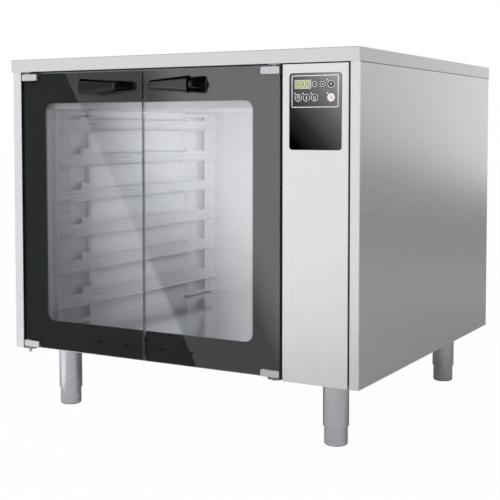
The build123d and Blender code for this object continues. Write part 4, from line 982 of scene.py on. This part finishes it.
@dataclass
class Overlay:
    """Printed outline on the black overlay and the domes of its indicator lights.

    Attributes:
        line: width of the printed outline.
        ink: thickness of the ink film.
        side: outline's distance from the overlay's side edges.
        top: its distance from the top edge.
        height: its height.
        corner: its corner radius.
        steps: edges round each of its corners.
        dome: radius of an indicator's dome.
        dome_height: how far a dome stands out.
        lights: keys that have a light, up and to the left of them.
        light_at: from a key's middle to its light.
        facets: corners of a dome's foot.
    """

    line: float = 1.5
    ink: float = 0.08
    side: float = 6.4
    top: float = 5.2
    height: float = 67.7
    corner: float = 2.0
    steps: int = 5
    dome: float = 1.9
    dome_height: float = 0.9
    lights: tuple[str, ...] = ("humidity", "timer", "temperature", "steam", "power")
    light_at: Spot = (-8.1, 8.9)
    facets: int = 24

    def build(self) -> None:
        """Makes the outline and the domes."""
        low, high = box_mm("control_overlay")
        work = Workpiece.sheet("overlay_outline", high.x - low.x - 2 * self.side, self.height)
        bpy.ops.mesh.bevel(offset=self.corner * MM, segments=self.steps, affect="VERTICES")
        work.pick_all()
        work.hollow(self.line * MM)
        work.thicken(self.ink * MM)
        outline = work.put(((low.x + high.x) / 2, low.y, high.z - self.top - self.height / 2),
                           Facing.FRONT)
        fit(outline, Finishes.ink_white, "cabinet")

        work = Workpiece("dome", bpy.ops.mesh.primitive_uv_sphere_add, segments=self.facets,
                         ring_count=self.facets // 2, radius=self.dome * MM)
        bpy.ops.mesh.bisect(plane_co=(0, 0, 0), plane_no=(0, 0, 1), clear_inner=True,
                            use_fill=True)
        work.pick_all()
        bpy.ops.transform.resize(value=(1.0, 1.0, self.dome_height / self.dome),
                                 center_override=(0, 0, 0))
        dome = work.put((0, 0, 0), Facing.FRONT)
        moves = []
        for name in self.lights:
            middle = middle_of(f"key_{name}")
            place = (middle.x + self.light_at[0], low.y, middle.z + self.light_at[1])
            moves.append(Matrix.Translation(Vector(place) * MM))
        fit(repeat(dome, "indicator_domes", moves), Finishes.indicator, "cabinet")


# ------------------------------------------------------------------ screws
@dataclass
class Screw:
    """A button head with a hexagon socket.

    Attributes:
        radius: of the head.
        height: of the head.
        rounding: of its top edge.
        socket: corner radius of the hexagon.
        depth: of the hexagon.
        rim: radius of the round mouth of the hexagon, in corner radii.
        facets: corners of the head's outline.
    """

    radius: float = 4.5
    height: float = 2.2
    rounding: float = 0.8
    socket: float = 2.2
    depth: float = 1.4
    rim: float = 1.2
    facets: int = 24

    def model(self) -> Object:
        """Shapes one head.

        Returns:
            The head, standing on z = 0 at the origin.
        """
        height, socket = self.height * MM, self.socket * MM
        mouth = socket * self.rim
        work = Workpiece.disc("screw", self.radius, self.facets)
        work.raise_up(height - self.rounding * MM)
        turns = [math.radians(turn) for turn in (0, 30, 60, 90)]
        rises = [self.rounding * MM * math.sin(turn) for turn in turns]
        shares = [1 - self.rounding / self.radius * (1 - math.cos(turn)) for turn in turns]
        for step in (1, 2, 3):
            work.raise_up(rises[step] - rises[step - 1], shares[step] / shares[step - 1])
        work.pick(Pick.FACE, lambda c: c.z > height - NEAR)
        bpy.ops.mesh.inset(thickness=(self.radius - self.rounding) * MM - mouth)
        bpy.ops.mesh.delete(type="ONLY_FACE")
        bpy.ops.mesh.primitive_circle_add(vertices=6, radius=socket,
                                          location=(0, 0, height), fill_type="NOTHING")
        work.pick(Pick.EDGE, lambda c: c.z > height - NEAR and c.to_2d().length < mouth)
        bpy.ops.mesh.bridge_edge_loops()
        work.pick(Pick.EDGE, lambda c: c.z > height - NEAR and c.to_2d().length < socket)
        bpy.ops.mesh.extrude_edges_move(
            TRANSFORM_OT_translate={"value": (0, 0, -self.depth * MM)})
        bpy.ops.mesh.edge_face_add()
        return work.put()

    def set_in(self, name: str, places: Sequence[Place], facing: Facing, body: str) -> None:
        """Puts a head at each place and joins them.

        Args:
            name: the joined piece's name.
            places: where the heads' undersides are, in mm.
            facing: which way the heads look.
            body: the body they ride on.
        """
        turn = Euler(facing.value).to_matrix().to_4x4()
        moves = [Matrix.Translation(Vector(place) * MM) @ turn for place in places]
        fit(repeat(self.model(), name, moves), Finishes.satin_steel, body)


@dataclass
class Fasteners:
    """Screws of the sheets, the legs, the rack and the hinge clamps.

    Attributes:
        edge: from a side panel's rear edge to the screws of the rear panel.
        rear_rows: screws up each side of the rear panel.
        base_inset: from the base's edges to its screws.
        leg_pitch: from the middle of a leg to the screws of its nut plate.
        post_inset: from the outer edge of a rack post to its screws.
        post_rows: heights of those screws above the foot of the post.
        cheek: thickness of a clamp's cheek behind the glass.
        clamp_in: from the hinged edge of the door to the clamp's screw.
        clamp_up: from the end of the door to the clamp's screw.
    """

    edge: float = 12.0
    rear_rows: int = 5
    base_inset: float = 9.0
    leg_pitch: float = 25.0
    post_inset: float = 26.0
    post_rows: tuple[float, ...] = (22.0, 535.0)
    cheek: float = 3.0
    clamp_in: float = 25.6
    clamp_up: float = 7.8

    def rear(self) -> None:
        """Sets the screws that hold the rear panel's edges to the sides."""
        low, high = box_mm("left_side_panel")
        right = box_mm("right_side_panel")[1].x
        rise = (high.z - low.z) / self.rear_rows
        heights = [low.z + rise * (row + 0.5) for row in range(self.rear_rows)]
        places = [(x, high.y, z) for x in (low.x + self.edge, right - self.edge)
                  for z in heights]
        Screw().set_in("rear_panel_screws", places, Facing.REAR, "cabinet")

    def base(self) -> None:
        """Sets the screws round the base and those of the nut plates over the legs."""
        low, high = box_mm("base_panel")
        xs = (low.x + self.base_inset, 0.0, high.x - self.base_inset)
        ys = (low.y + self.base_inset, high.y - self.base_inset)
        small = Screw(radius=3.6, height=1.8, rounding=0.6, socket=1.7, depth=1.1)
        small.set_in("base_panel_screws", [(x, y, low.z) for x in xs for y in ys],
                     Facing.DOWN, "cabinet")
        foot = middle_of("foot_front_left")
        rear = 2 * middle_of("leg_tubes").y - foot.y
        pitch = self.leg_pitch
        places = [(x + dx, y + dy, low.z) for x in (foot.x, -foot.x) for y in (foot.y, rear)
                  for dx in (-pitch, pitch) for dy in (-pitch, pitch)]
        small.set_in("leg_plate_screws", places, Facing.DOWN, "cabinet")

    def posts(self) -> None:
        """Sets the screws that hold the rack posts to the walls of the chamber."""
        screw = Screw(radius=3.4, height=1.6, rounding=0.6, socket=1.6, depth=1.0)
        for side, facing in (("left", Facing.RIGHT), ("right", Facing.LEFT)):
            low, high = box_mm(f"{side}_rack_posts")
            x = high.x if side == "left" else low.x
            places = [(x, y, low.z + rise) for rise in self.post_rows
                      for y in (low.y + self.post_inset, high.y - self.post_inset)]
            screw.set_in(f"{side}_post_screws", places, facing, "cabinet")

    def clamps(self) -> None:
        """Sets the screw that closes each hinge clamp, on its cheek behind the glass."""
        screw = Screw(radius=3.0, height=1.6, rounding=0.6, socket=1.4, depth=1.0)
        for side in ("left", "right"):
            low, high = box_mm(f"{side}_glass")
            x = low.x + self.clamp_in if side == "left" else high.x - self.clamp_in
            places = [(x, high.y + self.cheek, z)
                      for z in (low.z + self.clamp_up, high.z - self.clamp_up)]
            screw.set_in(f"{side}_clamp_screws", places, Facing.REAR, f"{side}_door")

    def build(self) -> None:
        """Sets every screw on the sheet that carries it."""
        self.rear()
        self.base()
        self.posts()
        self.clamps()


@dataclass
class Sealant:
    """Dark bead in the corner under the overhang of the cover, one along each side: painted
    shadow that stands for the shadow line there.

    Attributes:
        radius: of the bead.
        taper: length over which each end runs out.
        end: radius of the ends, as a share of the bead's.
        inset: from the front and rear edges of the side panel to the bead.
        drop: from the top edge of the side panel to the middle of the bead.
        facets: corners of its outline.
    """

    radius: float = 0.8
    taper: float = 2.0
    end: float = 0.5
    inset: float = 0.5
    drop: float = 0.5
    facets: int = 12

    def bead(self, side: str) -> Object:
        """Shapes the bead of one side, thinner towards both its ends.

        Args:
            side: left or right.

        Returns:
            The bead in its place.
        """
        low, high = box_mm(f"{side}_side_panel")
        work = Workpiece.disc(f"{side}_bead", self.radius * self.end, self.facets)
        work.raise_up(self.taper * MM, 1 / self.end)
        work.raise_up((high.y - low.y - 2 * (self.inset + self.taper)) * MM)
        work.raise_up(self.taper * MM, self.end)
        outer = high.x if side == "right" else low.x
        return work.put((outer, low.y + self.inset, high.z - self.drop), Facing.REAR)

    def build(self) -> None:
        """Runs the two beads."""
        # painted shadow: the dark beads stand for the shadow line under the cover
        beads = gather("cover_sealant", [self.bead("left"), self.bead("right")])
        fit(beads, Finishes.sealant, "cabinet")


# ------------------------------------------------------------------ studio
class Mirrors(Enum):
    """Which surfaces show a card."""

    SHARP = "glass and polished plastic"
    DULL = "brushed steel"


@dataclass(frozen=True)
class Lamp:
    """A soft square lamp that no mirror shows.

    Attributes:
        name: the lamp's name.
        place: where it hangs, in metres.
        aim: the point that it faces.
        size: side of its face.
        power: in watts.
        spread: full angle of its light in degrees.
    """

    name: str
    place: Place
    aim: Place
    size: float
    power: float
    spread: float = 180.0

    def build(self) -> None:
        """Hangs the lamp."""
        data = bpy.data.lights.new(self.name, "AREA")
        data.spread = math.radians(self.spread)
        data.size = self.size
        data.energy = self.power
        lamp = bpy.data.objects.new(self.name, data)
        lamp.location = self.place
        heading = Vector(self.aim) - Vector(self.place)
        lamp.rotation_euler = heading.to_track_quat("-Z", "Y").to_euler()
        lamp.visible_camera = False
        lamp.visible_glossy = False
        bpy.context.scene.collection.objects.link(lamp)


@dataclass
class Card:
    """A flat card that stands in the studio and shows only in mirrors.

    Attributes:
        name: the card's name.
        corners: its corners, in metres.
        along: direction in which its brightness changes.
        stops: brightness by distance along that direction, in metres.
        mirrors: the surfaces that show it.
    """

    name: str
    corners: Sequence[Place]
    along: Place
    stops: Sequence[Spot]
    mirrors: Mirrors = Mirrors.DULL

    def level(self, tree: NodeTree) -> Node:
        """Adds the brightness as a value on object coordinates.

        Args:
            tree: the material's node tree.

        Returns:
            The node whose output is the brightness.
        """
        where = add_node(tree, "TexCoord")
        distance = add_node(tree, "VectorMath", {1: self.along},
                            {0: (where, "Object")}, operation="DOT_PRODUCT")
        first, last = self.stops[0][0], self.stops[-1][0]
        share = add_node(tree, "MapRange", {"From Min": first, "From Max": last},
                         {"Value": (distance, "Value")})
        peak = max(strength for _, strength in self.stops)
        ramp = add_node(tree, "ValToRGB", links={0: (share, 0)})
        while len(ramp.color_ramp.elements) < len(self.stops):
            ramp.color_ramp.elements.new(1.0)
        for element, (spot, strength) in zip(ramp.color_ramp.elements, self.stops):
            element.position = (spot - first) / (last - first)
            element.color = (*[strength / peak] * 3, 1.0)
        return add_node(tree, "Math", {1: peak}, {0: (ramp, 0)},
                        operation="MULTIPLY")

    def build(self) -> None:
        """Makes the card and its material."""
        mesh = bpy.data.meshes.new(self.name)
        mesh.from_pydata(self.corners, [], [tuple(range(len(self.corners)))])
        card = bpy.data.objects.new(self.name, mesh)
        bpy.context.scene.collection.objects.link(card)
        material, tree = blank(self.name)
        shine = add_node(tree, "Emission", links={"Strength": (self.level(tree), 0)})
        clear = add_node(tree, "BsdfTransparent")
        ray = add_node(tree, "LightPath")
        dull, sharp = (shine, clear) if self.mirrors is Mirrors.DULL else (clear, shine)
        seen = add_node(tree, "MixShader",
                        links={0: (ray, "Is Singular Ray"), 1: (dull, 0), 2: (sharp, 0)})
        add_node(tree, "OutputMaterial", links={"Surface": (seen, 0)})
        mesh.materials.append(material)
        for kind in ("camera", "diffuse", "shadow", "transmission"):
            setattr(card, f"visible_{kind}", False)


@dataclass
class Studio:
    """Camera, floor, sky, lamps and cards; lengths in metres.

    Attributes:
        eye: the camera's place.
        tilt: how far it looks down, in radians.
        pan: its heading, in radians.
        lens: focal length, in mm.
        sensor: width of the sensor, in mm.
        shift: lens shift that frames the cabinet.
        floor_size: side of the floor.
        floor_drop: how far it lies under the feet, in mm.
        floor_grey: its paint, as a share of white.
        floor_white: share of pure white that the camera sees on the floor.
        floor_way: direction in which mirrors see the floor turn white.
        floor_fade: distances along it between which it does.
        floor_far: how white mirrors see it there.
        ambient: strength of the sky's light.
        ceiling: brightness that dull mirrors see overhead, where sharp ones see black.
        ceiling_rise: heights of a mirrored ray between which the sky dims to the ceiling.
        door_y: front plane of the doors.
        card_y: plane of the cards in front of it.
        doors: low and high corner of the doors, by x and z.
        window: the same of the clear window in them.
        corner: its corner radius.
        overlay: the same two corners of the control overlay.
        slant: direction of the doors' gradient, by x and z.
        edge: distance along it of the glare's edge.
        blur: half the width of that edge.
        ahead: how far the window's two cards stand in front of the first cards.
        wall_x: ends of the wall behind, which the side panel mirrors.
        wall_y: its plane.
        wall_z: its foot and top.
        haze: heights, at its ends, above which the wall is hazy.
        strip_x: ends of the strip on the floor, left of the cabinet.
        strip_y: its front and rear.
        strip_z: its height over the ground.
    """

    eye: Place = (1.35921, -2.46863, 0.69423)
    tilt: float = 0.0525769
    pan: float = 0.5132483
    lens: float = 77.316
    sensor: float = 36.0
    shift: Spot = (-0.00213, -0.12728)
    floor_size: float = 40.0
    floor_drop: float = 0.2
    floor_grey: float = 0.7
    floor_white: float = 0.985
    floor_way: Place = (-0.6, -0.8, 0.0)
    floor_fade: Spot = (1.0, 3.0)
    floor_far: float = 0.9
    ambient: float = 0.38
    ceiling: float = 0.6
    ceiling_rise: Spot = (0.15, 0.55)
    door_y: float = -0.4295
    card_y: float = -1.02
    doors: tuple[Spot, Spot] = ((-0.60, 0.13), (0.2870, 0.84))
    window: tuple[Spot, Spot] = ((-0.3658, 0.2270), (0.2098, 0.7580))
    corner: float = 0.018
    overlay: tuple[Spot, Spot] = ((0.2990, 0.60), (0.4320, 0.84))
    slant: Spot = (0.875, 0.484)
    edge: float = 0.1363
    blur: float = 0.0005
    ahead: Spot = (0.02, 0.025)
    wall_x: Spot = (0.4, 3.0)
    wall_y: float = 3.2
    wall_z: Spot = (0.0, 2.4)
    haze: Spot = (0.10, 0.93)
    strip_x: Spot = (-1.2, -0.48)
    strip_y: Spot = (-0.95, -0.48)
    strip_z: float = 0.002

    def camera(self) -> None:
        """Sets the camera."""
        data = bpy.data.cameras.new("camera")
        data.lens = self.lens
        data.sensor_width = self.sensor
        data.shift_x, data.shift_y = self.shift
        camera = bpy.data.objects.new("camera", data)
        camera.location = self.eye
        camera.rotation_euler = (math.pi / 2 - self.tilt, 0.0, self.pan)
        bpy.context.scene.collection.objects.link(camera)
        bpy.context.scene.camera = camera

    def sky(self) -> None:
        """Lights the object evenly; white to the camera, and in mirrors below the ceiling."""
        world = bpy.data.worlds.new("studio")
        bpy.context.scene.world = world
        world.use_nodes = True
        tree = world.node_tree
        tree.nodes.clear()
        where = add_node(tree, "TexCoord")
        split = add_node(tree, "SeparateXYZ", links={0: (where, "Generated")})
        low, high = self.ceiling_rise
        ray = add_node(tree, "LightPath")
        overhead = add_node(tree, "Mix", {2: self.ceiling, 3: 0.0},
                            {0: (ray, "Is Singular Ray")})
        mirrored = add_node(tree, "MapRange",
                            {"From Min": low, "From Max": high, "To Min": 1.0},
                            {"Value": (split, "Z"), "To Max": (overhead, 0)})
        seen = add_node(tree, "Mix", {3: 1.0},
                        {0: (ray, "Is Camera Ray"), 2: (mirrored, 0)})
        lit = add_node(tree, "Mix", {3: self.ambient},
                       {0: (ray, "Is Diffuse Ray"), 2: (seen, 0)})
        sky = add_node(tree, "Background", {"Color": (1, 1, 1, 1)},
                       {"Strength": (lit, 0)})
        add_node(tree, "OutputWorld", links={"Surface": (sky, 0)})

    def floor(self) -> None:
        """A pale floor, white to the camera but for a trace of shadow."""
        work = Workpiece("studio_floor", bpy.ops.mesh.primitive_plane_add,
                         size=self.floor_size)
        bpy.ops.mesh.subdivide(number_cuts=3)
        floor = work.put((0.0, 0.0, -self.floor_drop))
        material, tree = blank("painted_studio_floor")
        ray = add_node(tree, "LightPath")
        where = add_node(tree, "TexCoord")
        away = add_node(tree, "VectorMath", {1: self.floor_way},
                        {0: (where, "Object")}, operation="DOT_PRODUCT")
        paint = add_node(tree, "BsdfDiffuse", {"Color": (*[self.floor_grey] * 3, 1.0)})
        white = add_node(tree, "Emission", {"Strength": 1.0})
        near, far = self.floor_fade
        faded = add_node(tree, "MapRange",
                         {"From Min": near, "From Max": far, "To Max": self.floor_far},
                         {"Value": (away, "Value")})
        share = add_node(tree, "Mix", {3: self.floor_white},
                         {0: (ray, "Is Camera Ray"), 2: (faded, 0)})
        mixed = add_node(tree, "MixShader",
                         links={0: (share, 0), 1: (paint, 0), 2: (white, 0)})
        add_node(tree, "OutputMaterial", links={"Surface": (mixed, 0)})
        floor.data.materials.append(material)

    @staticmethod
    def outline(low: Spot, high: Spot, radius: float = 0.0) -> list[Spot]:
        """Goes round a rectangle, each rounded corner in three steps.

        Args:
            low: its lower left corner, by x and z.
            high: its upper right corner.
            radius: of the corners.

        Returns:
            The corners, by x and z.
        """
        spots = []
        for right, upper, start in ((1, 0, -90), (1, 1, 0), (0, 1, 90), (0, 0, 180)):
            x = high[0] - radius if right else low[0] + radius
            z = high[1] - radius if upper else low[1] + radius
            for turn in (0, 30, 60, 90) if radius else (0,):
                angle = math.radians(start + turn)
                spots.append((x + radius * math.cos(angle), z + radius * math.sin(angle)))
        return spots

    def mirrored(self, x: float, z: float, ahead: float) -> Place:
        """Finds where the ray that the doors mirror at x and z meets a card.

        Args:
            x: on the doors' front plane.
            z: on the doors' front plane.
            ahead: how far the card stands in front of the first cards.

        Returns:
            The point on the card.
        """
        card_y = self.card_y + ahead
        share = (self.door_y - card_y) / (self.door_y - self.eye[1])
        return (x + (x - self.eye[0]) * share, card_y, z + (z - self.eye[2]) * share)

    def door_card(self, name: str, spots: Sequence[Spot], along: Spot,
                  stops: Sequence[Spot], ahead: float = 0.0) -> None:
        """Sets a card by what the front plane shows of it.

        Args:
            name: the card's name.
            spots: x and z of the mirrored outline's corners.
            along: direction of the gradient in x and z.
            stops: brightness by distance along it, on the front plane.
            ahead: how far it stands in front of the first cards.
        """
        corners = [self.mirrored(x, z, ahead) for x, z in spots]
        slope = Vector(along).normalized()
        moved = []
        for distance, strength in stops:
            x, _, z = self.mirrored(slope.x * distance, slope.y * distance, ahead)
            moved.append((slope.x * x + slope.y * z, strength))
        Card(name, corners, (slope.x, 0.0, slope.y), moved, Mirrors.SHARP).build()

    def door_cards(self) -> None:
        """Sets the cards that the doors and the overlay mirror."""
        slant, edge, blur = self.slant, self.edge, self.blur
        self.door_card("card_window", self.outline(*self.doors), slant,
                       ((edge - blur, 0.024), (edge + blur, 0.52), (0.330, 0.49), (0.40, 1.50),
                        (0.425, 1.62)))
        pane = self.outline(*self.window, self.corner)
        self.door_card("card_pane", pane, (0.829, 0.559),
                       ((0.16, 0.15), (0.24, 0.55), (0.34, 1.85), (0.43, 2.55), (0.60, 2.40)),
                       self.ahead[0])
        left = [(x, z) for x, z in pane if x * slant[0] + z * slant[1] < edge]
        left += [((edge - z * slant[1]) / slant[0], z) for _, z in self.window]
        self.door_card("card_pane_left", left, slant,
                       ((-0.13, 0.22), (0.06, 0.80), (edge, 1.0)), self.ahead[1])
        self.door_card("card_panel", self.outline(*self.overlay), (0.72, 0.69),
                       ((0.690, 0.0), (0.735, 0.30), (0.785, 1.25), (0.83, 2.6), (0.87, 4.5)))

    def steel_cards(self) -> None:
        """Sets the cards that the brushed steel mirrors: a wall behind and a strip beside."""
        (left, right), (foot, top) = self.wall_x, self.wall_z
        haze = [(x, self.wall_y, z) for x, z in zip(self.wall_x, self.haze)]
        Card("card_wall", [(left, self.wall_y, foot), (right, self.wall_y, foot), *haze[::-1]],
             (1.0, 0.0, 0.0), ((1.2, 0.30), (2.2, 0.25))).build()
        (west, east), (front, rear), above = self.strip_x, self.strip_y, self.strip_z
        Card("card_strip", [(west, front, above), (east, front, above), (east, rear, above),
                            (west, rear, above)],
             (1.0, 0.0, 0.0), ((west, 0.9), (east, 1.5))).build()
        Card("card_haze", [*haze, (right, self.wall_y, top), (left, self.wall_y, top)],
             (1.0, 0.0, 0.0), ((1.2, 0.94), (2.2, 0.50))).build()

    def build(self) -> None:
        """Sets up everything round the object."""
        bpy.context.scene.view_settings.view_transform = "Standard"
        self.camera()
        self.sky()
        self.floor()
        front = (0.0, 0.0, 0.4)
        Lamp("key_lamp", (-1.8, -3.0, 2.8), front, size=2.4, power=125.0).build()
        Lamp("fill_lamp", (3.0, -1.2, 2.2), front, size=2.0, power=8.0).build()
        Lamp("chamber_glow", (0.20, -0.22, 0.57), (-0.40, 0.36, 0.57), size=0.24, power=1.7,
             spread=98.0).build()
        self.door_cards()
        self.steel_cards()


def main() -> None:
    """Builds the sub-assemblies in order."""
    logging.basicConfig(level=logging.INFO, format="%(name)s: %(message)s")
    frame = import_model()
    Studio().build()
    dress_frame(frame)
    Overlay().build()
    Display().build()
    Keys().build()
    Fasteners().build()
    Sealant().build()
    clear_selection()


if __name__ == "__main__":
    main()
